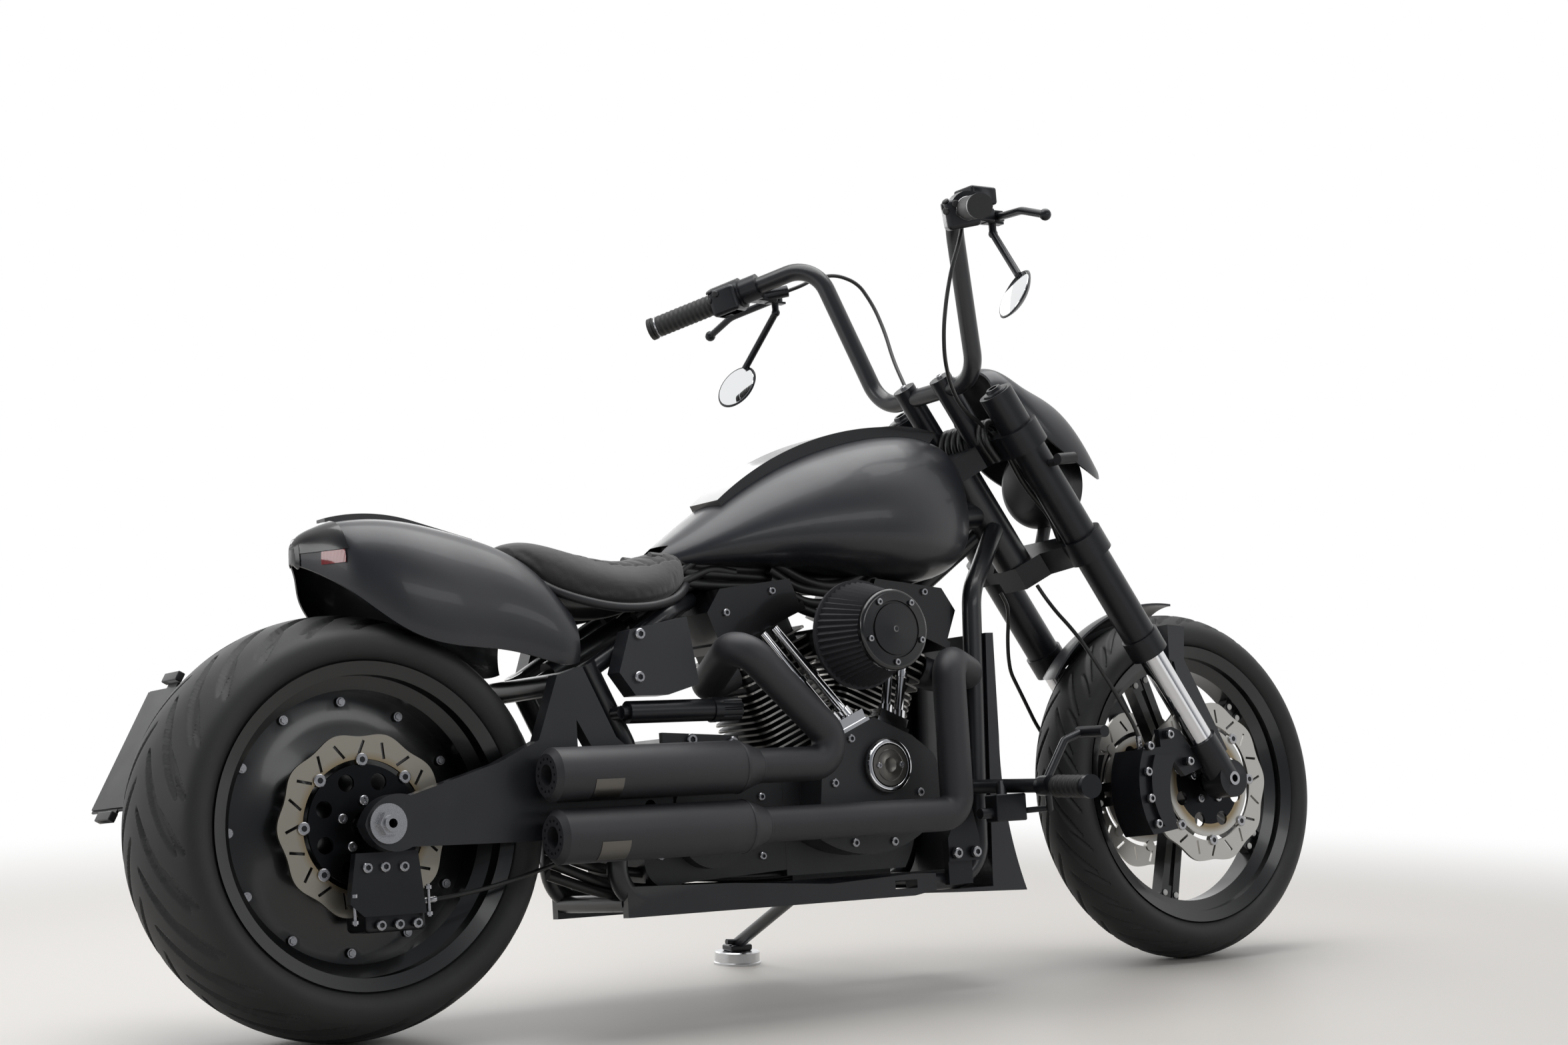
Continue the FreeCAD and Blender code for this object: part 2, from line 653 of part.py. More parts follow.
def preload_adjuster():
    """Hydraulic cylinder of the shock's preload, on the frame's right upright, with its ribbed knob."""
    y, z = -160.0, 479.0
    tube = rod(Vector(432, y, z), Vector(588, y, z), 18.0)
    ring = rod(Vector(588, y, z), Vector(596, y, z), 20.5)
    knob = rod(Vector(596, y, z), Vector(640, y, z), 20.0)
    grooves = []
    for index in range(10):
        turn = Rotation(X, index * 36)
        groove = Vector(0, y, z) + turn.multVec(Y * 20.5)
        grooves.append(rod(groove + X * 604, groove + X * 641, 2.5))
    upright = Vector(UPRIGHT_X, -118, 420)
    seat_rail_end = Vector(385, -118, 560)
    on_tube = upright + (seat_rail_end - upright) * ((z - 420) / 140)
    arm = rod(on_tube - Y * (RAIL_R + FIT), Vector(on_tube.x, y, z), 11.0)
    foot = rod(Vector(on_tube.x - 4, y, z), Vector(450, y, z), 11.0)
    return joined([tube, ring, knob.cut(Part.makeCompound(grooves)), arm, foot])


def drive_belt():
    """Fixed loop round both pulleys: two straight runs tangent to them."""
    distance = math.dist((0, REAR_TYRE_R), (DRIVER_X, DRIVER_Z))
    slope = math.atan2(DRIVER_Z - REAR_TYRE_R, DRIVER_X)
    big, small = PULLEY_R + FIT, DRIVER_R + FIT
    swing = math.asin((big - small) / distance)

    def loop(extra):
        points = {}
        for side in (1, -1):
            normal = slope + side * (math.pi / 2 - swing)
            for name, x, z, r in (("rear", 0, REAR_TYRE_R, big), ("front", DRIVER_X, DRIVER_Z, small)):
                points[name, side] = (x + (r + extra) * math.cos(normal), z + (r + extra) * math.sin(normal))
        rear_back = (-(big + extra) * math.cos(slope), REAR_TYRE_R - (big + extra) * math.sin(slope))
        front_tip = (DRIVER_X + (small + extra) * math.cos(slope),
                     DRIVER_Z + (small + extra) * math.sin(slope))
        return slab(BELT_Y - BELT_WIDTH / 2, BELT_Y + BELT_WIDTH / 2, points["rear", 1], points["front", 1],
                    (front_tip, points["front", -1]), points["rear", -1], (rear_back, points["rear", 1]))

    return loop(BELT_THICKNESS).cut(loop(0.0))


def rear_caliper():
    """Four-piston caliper astride the disc, hung under the axle by its bracket."""
    y = -REAR_DISC_Y
    body = block(30, y, 196, 100, 74, 62, 8.0)
    slot = Part.makeBox(200, DISC_THICKNESS + 2 * RUNNING_GAP, 90,
                        Vector(-70, y - DISC_THICKNESS / 2 - RUNNING_GAP, 176))
    hub_side = Part.makeCylinder(REAR_DISC_R + RUNNING_GAP, DISC_THICKNESS + 2 * RUNNING_GAP,
                                 REAR_CENTRE + Y * (y - DISC_THICKNESS / 2 - RUNNING_GAP), Y)
    body = body.cut(slot.common(hub_side))
    bracket = slab(-149.7, -134, (-40, 284), (62, 284), (72, 190), (-30, 190), (-52, 210))
    bridge = block(10, -132, 208, 60, 20, 26)
    pins = [rod(Vector(x, y - 43, 176), Vector(x, y - 36, 176), 6.0) for x in (0, 30, 60)]
    return joined([body.cut(slot), bracket, bridge] + pins)


# Chassis: engine

def vee_direction(side):
    """Up a cylinder's axis: side is -1 for the rear one and 1 for the front one."""
    angle = math.radians(VEE_HALF)
    return Vector(side * math.sin(angle), 0, math.cos(angle))


def vee_point(side, distance, across=0.0, y=0.0):
    up = vee_direction(side)
    ahead = Vector(up.z, 0, -up.x)
    return Vector(CRANK_X, y, CRANK_Z) + up * distance + ahead * across


def vee_slab(side, low, high, long, wide, fillet=0.0):
    """A box square to a cylinder's axis, between two distances from the crankshaft."""
    box = Part.makeBox(long, wide, high - low, Vector(-long / 2, -wide / 2, 0))
    if fillet:
        box = box.makeFillet(fillet, [e for e in box.Edges if abs(e.tangentAt(e.FirstParameter).z) > 0.9])
    box.Placement = Placement(vee_point(side, low), Rotation(Y, side * VEE_HALF))
    return box


def engine_case():
    """Crankcase with a round front, a flat bottom and two inclined decks."""
    rear = vee_point(-1, DECK_AT, -70.0)
    valley = vee_point(1, DECK_AT, -DECK_AT * math.tan(math.radians(VEE_HALF)))
    front = vee_point(1, DECK_AT, 70.0)
    body = slab(-CASE_HALF, CASE_HALF, (CRANK_X - 132, 205), (CRANK_X - 132, 380), (rear.x, rear.z),
                (valley.x, valley.z), (front.x, front.z), ((CRANK_X + 140, 300), (CRANK_X + 110, 205)))
    sump = block(CRANK_X - 10, 0, 196, 200, 150, 24)
    return joined([body, sump])


def gearbox_case():
    body = slab(-CASE_HALF, CASE_HALF, (490, 240), (500, 400), (560, 440), (700, 420),
                (CRANK_X - 132 - FIT, 380),
                (CRANK_X - 132 - FIT, 215), (560, 205), ((505, 210), (490, 240)))
    cover = slab(-CASE_HALF - 26, -CASE_HALF, (540, 300), ((600, 390), (680, 300)), ((600, 226), (540, 300)))
    driver = rod(Vector(DRIVER_X, CASE_HALF, DRIVER_Z), Vector(DRIVER_X, BELT_Y + BELT_WIDTH / 2, DRIVER_Z),
                 DRIVER_R)
    strut = slab(-CASE_HALF - 50, -CASE_HALF - 40, (506, 426), (506, 446), (650, 437), (650, 418))
    bosses = [rod(Vector(x, -CASE_HALF + 20, z), Vector(x, -CASE_HALF - 46, z), 9.0)
              for x, z in ((559, 433), (637, 426))]
    cavity = rod(Vector(UPRIGHT_X, -200, 330), Vector(UPRIGHT_X, 200, 330), 34.0)
    return joined([body, cover, driver, strut] + bosses).cut(cavity)


def cam_cover():
    """Right-hand cover under the lifters' roof-shaped decks, with the round timing cover on it."""
    low = -CASE_HALF - COVER_DEPTH
    body = slab(low, -CASE_HALF, (790, 262), (806, 402), (838, DECK_PEAK_Z - DECK_RUN * DECK_SLOPE),
                (DECK_PEAK_X, DECK_PEAK_Z), (990, DECK_PEAK_Z - DECK_RUN * DECK_SLOPE), (1032, 396),
                ((1046, 330), (1000, 262)), ((900, 232), (790, 262)))
    timing = lathe(Vector(932, low, 377), Y * -1, (0, -4), (TIMING_R, -4), (TIMING_R, 7), (TIMING_R - 3, 10),
                   (TIMING_R - 8, 10), (TIMING_R - 9, 7), (31, 7), (30, 11), (16, 11), (15, 13), (0, 13))
    return joined([body, timing])


def lifter_place(side, along):
    """On a lifter deck's slope, at a distance down it from the peak."""
    return Vector(DECK_PEAK_X + side * along * math.cos(math.radians(VEE_HALF)), -CASE_HALF - 42,
                  DECK_PEAK_Z - along * math.sin(math.radians(VEE_HALF)))


def cylinder(side):
    """Barrel and head with their stacks of cooling fins."""
    fins = []
    top = DECK_AT
    core = rod(vee_point(side, DECK_AT), vee_point(side, DECK_AT + 6 + BARREL_FINS * FIN_PITCH), BARREL_R)
    fins.append(core)
    for index in range(BARREL_FINS):
        top = DECK_AT + 6 + index * FIN_PITCH
        fins.append(vee_slab(side, top, top + FIN_THICKNESS, FIN_LONG, FIN_WIDE, 22.0))
    head_low = DECK_AT + 6 + BARREL_FINS * FIN_PITCH
    head_high = cylinder_top()
    fins.append(vee_slab(side, head_low, head_high, FIN_LONG - 24, FIN_WIDE - 24, 12.0))
    for index in range(HEAD_FINS):
        top = head_low + 4 + index * (FIN_PITCH + 4)
        fins.append(vee_slab(side, top, top + FIN_THICKNESS, FIN_LONG, FIN_WIDE + 10, 14.0))
    other_side = Part.makeBox(300, 300, 400, Vector(CRANK_X - FIT if side < 0 else CRANK_X - 300 + FIT, -150,
                                                    300))
    return joined(fins).cut(other_side)


def cylinder_top():
    return DECK_AT + 6 + BARREL_FINS * FIN_PITCH + HEAD_FINS * (FIN_PITCH + 4) + HEAD_CAP


def cylinders():
    return Part.makeCompound([cylinder(-1), cylinder(1)])


def rocker_cover(side):
    low = cylinder_top() + FIT
    outline = []
    for up, out in ((0, -84), (0, 108), (14, 108), (14, 100), (70, 100), (96, 60), (58, -76), (14, -76),
                    (14, -84)):
        corner = vee_point(side, low + up, side * out)
        outline.append((corner.x, corner.z))
    return slab(-88, 88, *outline)


def rocker_covers():
    return Part.makeCompound([rocker_cover(-1), rocker_cover(1)])


def pushrod_tubes():
    """Lifter blocks with a pair of pushrod tubes each, up to the rocker covers."""
    pieces = []
    for side, tops in ((-1, (-22, 4)), (1, (2, -28))):
        seat = lifter_place(side, 42)
        lifter = Part.makeBox(LIFTER_LONG, 34, LIFTER_HEIGHT, Vector(-LIFTER_LONG / 2, -17, FIT))
        flange = Part.makeBox(LIFTER_LONG + 8, 40, 6, Vector(-LIFTER_LONG / 2 - 4, -20, FIT))
        group = []
        for piece in (lifter, flange):
            piece.Placement = Placement(seat, Rotation(Y, side * VEE_HALF))
            group.append(piece)
        for foot_at, top_at in zip((20, -8), tops):
            low = lifter_place(side, 42 + foot_at) + vee_direction(side) * (LIFTER_HEIGHT - 3)
            high = vee_point(side, cylinder_top() - 2, top_at, -FIN_WIDE / 2 - 22)
            group.append(rod(low, high, PUSHROD_R))
            group.append(rod(low, low + unit(high - low) * 16, PUSHROD_R + 4))
            middle = low + (high - low) * 0.45
            group.append(rod(middle, middle + unit(high - low) * 10, PUSHROD_R + 2))
        pieces.append(joined(group))
    return Part.makeCompound(pieces)


def intake():
    """Manifold between the heads, with the throttle body that carries the air filter."""
    outline = []
    for side, up in ((-1, 276), (-1, 322), (1, 322), (1, 276)):
        corner = vee_point(side, up, -side * (FIN_LONG / 2 + FIT))
        outline.append((corner.x, corner.z))
    manifold = slab(-100, 40, *outline)
    body = rod(Vector(CRANK_X - FILTER_BACK, -FIN_WIDE / 2 - 6, FILTER_Z), filter_place(0), 27.0)
    return joined([manifold, body])


def air_filter():
    """Pleated cone: a star of folds that widens towards the engine, on a back plate."""
    sections = []
    for distance, radius in ((0.0, FILTER_BASE_R), (FILTER_LENGTH, FILTER_TIP_R)):
        points = []
        for index in range(2 * FILTER_PLEATS):
            angle = math.pi * index / FILTER_PLEATS
            r = radius - (FILTER_FOLD if index % 2 else 0.0)
            points.append(Vector(r * math.cos(angle), r * math.sin(angle), distance))
        sections.append(Part.makePolygon(points + [points[0]]))
    cone = Part.makeLoft(sections, True, True)
    plate = Part.makeCylinder(FILTER_BASE_R + 3, 6, Vector(0, 0, -5))
    return turned_to(joined([cone, plate]), filter_place(FIT + 5), Y * -1)


def filter_place(distance):
    """On the filter's axis, at a distance out from the throttle body's face."""
    return Vector(CRANK_X - FILTER_BACK, FILTER_FACE_Y - distance, FILTER_Z)


def filter_cover():
    """Cap with a ring of recessed steps and five screws."""
    start = 5 + FILTER_LENGTH + 2 * FIT
    cap = lathe(filter_place(start), Y * -1, (0, 0), (COVER_R, 0), (COVER_R, 5),
                ((COVER_R - 2, 10), (COVER_R - 7, 12)),
                (COVER_R - 20, 13), (COVER_R - 21, 11), (COVER_R - 24, 11), (COVER_R - 25, 14), (0, 16))
    screws = []
    for index in range(5):
        turn = Rotation(Y, 20 + index * 72)
        place = filter_place(start) + turn.multVec(X * (COVER_R - 13))
        screws.append(rod(place, place - Y * 15, 4.5))
    return joined([cap] + screws)


def primary_cover():
    """Long rounded cover on the left, over the clutch and the primary drive."""
    front_x, rear_x = CRANK_X, 634.0
    low, middle, high = CASE_HALF + FIT, BELT_Y + BELT_WIDTH / 2 + RUNNING_GAP, 205.0
    case = slab(low, high, (rear_x, 428), (front_x, 392), ((front_x + 107, CRANK_Z + 10), (front_x, 208)),
                (rear_x, 208), ((rear_x - 110, 318), (rear_x, 428)))
    belt_room = Part.makeBox(300, middle - low + 1, 300, Vector(rear_x - 150, low - 1, 180))
    return case.cut(belt_room)


# Chassis: exhaust

def exhaust_pipes():
    rear_port = vee_point(-1, 312, -FIN_LONG / 2 - FIT, -50)
    rear = bent_pipe([rear_port, vee_point(-1, 312, -FIN_LONG / 2 - 60, -50), Vector(606, UPPER_PIPE_Y, 588),
                      Vector(822, UPPER_PIPE_Y, UPPER_PIPE_Z),
                      Vector(CONE_FRONT_X, UPPER_PIPE_Y, UPPER_PIPE_Z)],
                     PIPE_R, PIPE_R - PIPE_WALL, 34.0)
    front_port = vee_point(1, 312, FIN_LONG / 2 + FIT, -50)
    elbow = vee_point(1, 312, FIN_LONG / 2 + 38, -50)
    front = bent_pipe([front_port, elbow, elbow - Y * 100, Vector(1016, LOWER_PIPE_Y, 545),
                       Vector(1016, LOWER_PIPE_Y, LOWER_PIPE_Z),
                       Vector(CONE_FRONT_X, LOWER_PIPE_Y, LOWER_PIPE_Z)],
                      PIPE_R, PIPE_R - PIPE_WALL, 32.0)
    return Part.makeCompound([rear, front])


def muffler(y, z):
    """Straight can with a cone in front, and a thick bevelled cap with a wide bore and a ring of holes."""
    inner = MUFFLER_R - MUFFLER_WALL
    can = lathe(Vector(MUFFLER_REAR_X, y, z), X,
                (BORE_R, 0), (MUFFLER_R - 9, 0), (MUFFLER_R, 9),
                (MUFFLER_R, MUFFLER_FRONT_X - MUFFLER_REAR_X),
                (PIPE_R, CONE_FRONT_X - MUFFLER_REAR_X - FIT),
                (PIPE_R - PIPE_WALL, CONE_FRONT_X - MUFFLER_REAR_X - FIT),
                (inner, MUFFLER_FRONT_X - MUFFLER_REAR_X), (inner, CAP_DEPTH), (BORE_R, CAP_DEPTH))
    holes = []
    for index in range(CAP_HOLES):
        angle = 2 * math.pi * index / CAP_HOLES
        out = (BORE_R + MUFFLER_R - 9) / 2
        start = Vector(MUFFLER_REAR_X - 1, y + out * math.cos(angle), z + out * math.sin(angle))
        holes.append(rod(start, start + X * 7, CAP_HOLE_R))
    return can.cut(Part.makeCompound(holes))


def mufflers():
    return Part.makeCompound([muffler(UPPER_PIPE_Y, UPPER_PIPE_Z), muffler(LOWER_PIPE_Y, LOWER_PIPE_Z)])


# Chassis: bodywork

def tank_section(x, half, low, high):
    height = high - low
    return rounded_section(x, [(0, low), (0.6 * half, low), (0.93 * half, low + 0.14 * height),
                               (half, low + 0.36 * height), (0.86 * half, low + 0.68 * height),
                               (0.5 * half, low + 0.93 * height), (0, high)])


def tank_form(extra=0.0):
    """The tank's outer form, or one that stands proud of it by a little."""
    stations = ((585, 34, 722, 752), (660, 84, 724, 800), (780, 128, 722, 874), (920, 156, 712, 930),
                (1050, 160, 704, 956), (1150, 128, 716, 952), (1205, 74, 760, 925))
    return loft([tank_section(x, half + extra, low - extra, high + extra) for x, half, low, high in stations])


def fuel_tank():
    """Long drop-shaped tank with a tunnel for the backbone."""
    tunnel = Part.makeBox(700, 2 * BACKBONE_R + 8, 100, Vector(560, -BACKBONE_R - 4, 660))
    neck = rod(head_point(LOWER_CLAMP_AT - 60), head_point(UPPER_CLAMP_AT + 60), HEAD_TUBE_R + 14)
    return tank_form().cut(tunnel).cut(backbone(BACKBONE_R + 4)).cut(neck)


def tank_console():
    """Raised strip along the top of the tank."""
    top = slab(-44, 44, (700, 836), ((880, 936), (1050, 970)), ((1110, 972), (1170, 962)), (1150, 940),
               ((930, 900), (720, 800)))
    return top.cut(tank_form(FIT))


def seat_section(x, half, low, high):
    height = high - low
    return rounded_section(x, [(0, low), (0.7 * half, low), (0.96 * half, low + 0.12 * height),
                               (0.98 * half, low + 0.4 * height), (0.8 * half, low + 0.75 * height),
                               (0.4 * half, low + 0.96 * height), (0, high)])


def seat():
    pad = loft([seat_section(300, 60, 716, 760), seat_section(350, 108, 676, 762),
                seat_section(420, 136, 652, 742), seat_section(490, 138, 650, 732),
                seat_section(560, 112, 664, 742), seat_section(615, 66, 690, 756)])
    return pad.cut(fender_form(FIT)).cut(tank_form(FIT))


FENDER_STATIONS = ((-50, 16, 726, 766), (-44, 26, 722, 772), (-28, 54, 708, 782), (-10, 88, 688, 790),
                   (25, 122, 652, 797), (70, 143, 616, 799), (180, 148, 588, 782), (290, 146, 570, 744),
                   (366, 140, 562, 668))
CAP_FRONT_X = -4.0
CAP_SKIN = 4.0
CAP_EDGE_Z = 745.0


def fender_points(half, low, high):
    """The right half of a cross-section, from its lower edge to the middle of its top."""
    height = high - low
    return [(0.97 * half, low), (half, low + 0.2 * height), (0.94 * half, low + 0.55 * height),
            (0.66 * half, low + 0.88 * height), (0, high)]


def fender_form(extra):
    """The fender's outer form as a solid a little proud of it, to seat other pieces on."""
    sections = []
    for x, half, low, high in FENDER_STATIONS:
        sections.append(rounded_section(x, [(0, low)] + fender_points(half + extra, low, high + extra)))
    return loft(sections)


def arch_section(x, outer, inner):
    """A skin's cross-section: two arches of right-half points, joined along both lower edges."""
    curves = []
    for points in (outer, inner):
        right = [Vector(x, -y, z) for y, z in points]
        left = [Vector(x, y, z) for y, z in reversed(points[:-1])]
        curve = Part.BSplineCurve()
        curve.interpolate(right + left)
        curves.append(curve)
    outside, inside = curves
    edges = [outside.toShape(), Part.makeLine(outside.EndPoint, inside.EndPoint), inside.toShape(),
             Part.makeLine(inside.StartPoint, outside.StartPoint)]
    return Part.Wire(edges)


def fender_arch(x, half, low, high):
    return arch_section(x, fender_points(half, low, high),
                        fender_points(half - FENDER_SKIN, low, high - FENDER_SKIN))


def rear_fender():
    """Short flared fender over the rear tyre, open below for it."""
    return loft([fender_arch(*station) for station in FENDER_STATIONS])


def tail_cap():
    """Gloss cap round the top of the tail, closed behind, with a low strip forward from it."""
    first = FENDER_STATIONS[0]
    x, half, low, high = first
    cap = Part.makeBox(CAP_FRONT_X - x, 400, 100, Vector(x, -200, CAP_EDGE_Z)).common(fender_form(CAP_SKIN))
    end = loft([rounded_section(x - FIT, [(0, low)] + fender_points(half + CAP_SKIN - 1, low,
                                                                    high + CAP_SKIN - 1)),
                rounded_section(x - 5, [(0, low + 4)] + fender_points(half - 5, low + 4, high - 4))])
    strip = slab(-15, 15, (CAP_FRONT_X + FIT, 780), (CAP_FRONT_X + FIT, 801), ((60, 809), (140, 800)),
                 (250, 770), (250, 750))
    under = fender_form(FIT)
    return Part.makeCompound([cap.cut(under), end, strip.cut(under)])


def tail_lights():
    """Red lens on each rear corner, following the round tail."""
    lens = Part.makeBox(44, 40, 20, Vector(-52, -94, CAP_EDGE_Z - 21)).common(fender_form(5.0))
    lens = lens.cut(fender_form(FIT))
    return Part.makeCompound(both_sides(lens))


def side_covers():
    cover = slab(-178, -140, (412, 541), (435, 608), (542, 628), (559, 520), (500, 504), (440, 504))
    boss = rod(Vector(470, -141, 595), Vector(470, -118 - 14 - FIT, 595), 12.0)
    return Part.makeCompound(both_sides(joined([cover, boss])))


def chin_spoiler():
    """Curved wedge in front of the downtubes, with a lip under the rails."""
    slope = 24.0 / 492.0
    front = DOWNTUBE_X + RAIL_R + FIT
    under = RAIL_Z - RAIL_R - FIT
    return slab(-120, 120, (1092, 157), (1243, 152), ((1214, 260), (1204, 420)), (1206, 600),
                (front + slope * (600 - RAIL_Z), 600), (front, RAIL_Z), (front, under), (1092, under))


def foot_control(side):
    """Bracket bolted to the frame's corner, bar, peg with its end cap, and pedal or shift arm."""
    inner = RAIL_Y + RAIL_R + FIT
    bracket = slab(side * (inner + 10), side * (inner + 26), (1057, 210), (1057, 250), (1086, 300),
                   (1096, 348),
                   (1124, 346), (1112, 300), (1124, 250), (1124, 210))
    foot = block(1090, side * (inner + 6), 208, 50, 12, 74)
    bolts = [rod(Vector(x, side * (inner + 20), 224), Vector(x, side * (inner + 32), 224), 10.0)
             for x in (1070, 1110)]
    bar = bent_rod([Vector(1108, side * (inner + 14), 334), Vector(1150, side * 190, 332),
                    Vector(1182, side * 262, 328)],
                   12.0, 40.0)
    peg = rod(Vector(1180, side * 256, 328), Vector(1168, side * 394, 321), 17.0)
    cap = rod(Vector(1168, side * 394, 321), Vector(1167, side * 402, 321), 20.0)
    arm = bent_rod([Vector(1166, side * 284, 332), Vector(1220, side * 277, 402),
                    Vector(1258, side * 276, 414)], 7.0, 14.0)
    hinge = rod(Vector(1170, side * 274, 330), Vector(1170, side * 292, 330), 15.0)
    rubber = rod(Vector(1262, side * 266, 415), Vector(1262, side * 334, 413), 10.0)
    pieces = [bracket, foot, bar, peg, cap, arm, hinge, rubber] + bolts
    if side < 0:
        cylinder_box = block(1134, side * 214, 295, 64, 34, 46, 3.0)
        hanger = rod(Vector(1134, side * 205, 310), Vector(1146, side * 190, 336), 9.0)
        push_rod = rod(Vector(1166, side * 214, 288), Vector(1200, side * 250, 290), 5.0)
        link = rod(Vector(1170, side * 284, 328), Vector(1200, side * 250, 288), 6.0)
        spring = rod(Vector(1102, side * 214, 287), Vector(1078, side * 214, 287), 9.0)
        pieces += [cylinder_box, hanger, push_rod, link, spring]
    return joined(pieces)


def foot_controls():
    return Part.makeCompound([foot_control(-1), foot_control(1)])


PLATE_MIDDLE = Vector(-213, 238, 468)
PLATE_TILT = 28.8


def plate_holder():
    """Blank number plate, leaning forward at its top, on a curved bracket behind the rear wheel."""
    plate = block(0, 0, 0, 4, 180, 210)
    frame_edge = block(-3, 0, 0, 4, 188, 218, 1.0)
    top_tab = block(4, 0, 122, 12, 60, 16, 2.0)
    low_tab = block(4, 0, -122, 12, 60, 16, 2.0)
    neck = block(-2, 0, 116, 4, 40, 20)
    neck_low = block(-2, 0, -116, 4, 40, 20)
    holder = joined([plate, frame_edge, top_tab, low_tab, neck, neck_low])
    holder.Placement = Placement(PLATE_MIDDLE, Rotation(Y, 180 + PLATE_TILT))
    face = BELT_Y + BELT_WIDTH / 2 + RUNNING_GAP + ARM_OUTER_Y - ARM_INNER_Y + FIT
    arm = bent_rod([Vector(50, face, 332), Vector(50, 226, 332), Vector(-140, 230, 352),
                    PLATE_MIDDLE + Vector(-8, -4, -22)],
                   7.0, 18.0)
    return joined([holder, arm])


# Steering group

def triple_clamps():
    """Lower and upper clamp joined by the stem, with the two handlebar risers."""
    pieces = [rod(head_point(LOWER_CLAMP_AT - CLAMP_HEIGHT / 2),
                  head_point(UPPER_CLAMP_AT + CLAMP_HEIGHT / 2), STEM_R)]
    for level in (LOWER_CLAMP_AT, UPPER_CLAMP_AT):
        low = head_point(level - CLAMP_HEIGHT / 2)
        face = closed_face(lambda ahead, y: Vector(ahead, y, 0), (-28, -30), (-28, 30), (14, 60), (26, 140),
                           (66, 140), (66, -140), (26, -140), (14, -60))
        plate = face.extrude(Z * CLAMP_HEIGHT)
        plate.Placement = Placement(low, Rotation(Y, -RAKE))
        pieces.append(plate)
        for y in (-FORK_PITCH, FORK_PITCH):
            pieces.append(rod(fork_point(level - CLAMP_HEIGHT / 2, y),
                              fork_point(level + CLAMP_HEIGHT / 2, y),
                              OUTER_TUBE_R + 9))
    for y in (-RISER_Y, RISER_Y):
        top = BAR_MID + Y * y
        pieces.append(rod(top - HEAD_UP * 120, top + HEAD_UP * 24, RISER_R))
    solid = joined(pieces)
    for y in (-FORK_PITCH, FORK_PITCH):
        solid = solid.cut(rod(fork_point(400, y), fork_point(900, y), OUTER_TUBE_R + FIT))
    bar = rod(BAR_MID - Y * 80, BAR_MID + Y * 80, BAR_R + FIT)
    return solid.cut(bar)


def fork_outer_tubes():
    tube = pipe(fork_point(OUTER_TUBE_LOW), fork_point(OUTER_TUBE_TOP), OUTER_TUBE_R, INNER_TUBE_R + FIT)
    collar = pipe(fork_point(OUTER_TUBE_LOW), fork_point(OUTER_TUBE_LOW + 40), OUTER_TUBE_R + 4,
                  INNER_TUBE_R + FIT)
    return Part.makeCompound(both_sides(joined([tube, collar])))


def fork_inner_tubes():
    return Part.makeCompound(both_sides(rod(fork_point(FOOT_TOP + FIT), fork_point(OUTER_TUBE_LOW + 200),
                                            INNER_TUBE_R)))


def fork_feet():
    """Axle clamps at the fork's lower ends."""
    leg = joined([rod(fork_point(0), fork_point(FOOT_TOP), INNER_TUBE_R + 5),
                  rod(fork_point(0, FORK_PITCH - 24), fork_point(0, FORK_PITCH + 24), 34.0)])
    hole = rod(fork_point(0, FORK_PITCH - 60), fork_point(0, FORK_PITCH + 60), AXLE_R + FIT)
    return Part.makeCompound(both_sides(leg.cut(hole)))


def front_axle():
    y = FORK_PITCH + 27
    shaft = rod(FRONT_CENTRE - Y * y, FRONT_CENTRE + Y * y, AXLE_R)
    return shaft.cut(rod(FRONT_CENTRE - Y * 200, FRONT_CENTRE + Y * 200, AXLE_BORE_R))


def front_fender():
    """Short fender that follows the tyre, deeper at its front, carried by a stay on each side."""
    radius = FRONT_TYRE_R + FENDER_GAP
    half = FRONT_TYRE_HALF + 10
    skin = FRONT_FENDER_SKIN
    shoulder = radius - 30
    low = radius - 68
    face = closed_face(lambda r, h: Vector(r, h, 0), (radius, 0),
                       ((radius - 8, half * 0.62), (shoulder, half)), (low, half), (low, half - skin),
                       (shoulder, half - skin), ((radius - 8 - skin, half * 0.58), (radius - skin, 0)))
    face = face.fuse(face.mirror(Vector(), Y)).removeSplitter()
    shell = face.Faces[0].revolve(Vector(), Y, 180 - FENDER_REAR - FENDER_FRONT)
    shell.rotate(Vector(), Y, FENDER_REAR - 180)
    shell.translate(FRONT_CENTRE)
    trim = slab(-200, 200, (FRONT_CENTRE.x - 420, FRONT_CENTRE.z - 200),
                (FRONT_CENTRE.x - 370, FRONT_CENTRE.z + 164),
                ((FRONT_CENTRE.x - 236, FRONT_CENTRE.z + 218), (FRONT_CENTRE.x - 40, FRONT_CENTRE.z + 261)),
                (FRONT_CENTRE.x - 40, FRONT_CENTRE.z - 200))
    shell = shell.cut(trim)
    low_y = FORK_PITCH - INNER_TUBE_R - 5 - FIT
    pieces = [shell]
    for side in (-1, 1):
        strut = [(75, 250), (44, 225), (-45, 56), (10, 26), (44, 61)]
        corner = [(FRONT_CENTRE.x - back, FRONT_CENTRE.z + up) for back, up in strut]
        pieces.append(slab(side * low_y, side * (low_y - 6), *corner))
        web = [(82, 226), (78, 290), (36, 286), (46, 210)]
        corner = [(FRONT_CENTRE.x - back, FRONT_CENTRE.z + up) for back, up in web]
        pieces.append(slab(side * low_y, side * (half - 3), *corner))
    return joined(pieces)


def handlebar():
    """Tall bar bent at its foot and at its shoulders, clamped in the risers."""
    low = BAR_MID + Y * BAR_LOW_Y
    flip = lambda p: Vector(p.x, -p.y, p.z)
    points = [flip(GRIP_END), flip(BAR_TOP), flip(low), low, BAR_TOP, GRIP_END]
    return bent_rod(points, BAR_R, 62.0)


def grip_line(distance):
    """A point on the bar's end, by its distance inwards from the end of the grip."""
    return GRIP_END + unit(BAR_TOP - GRIP_END) * distance


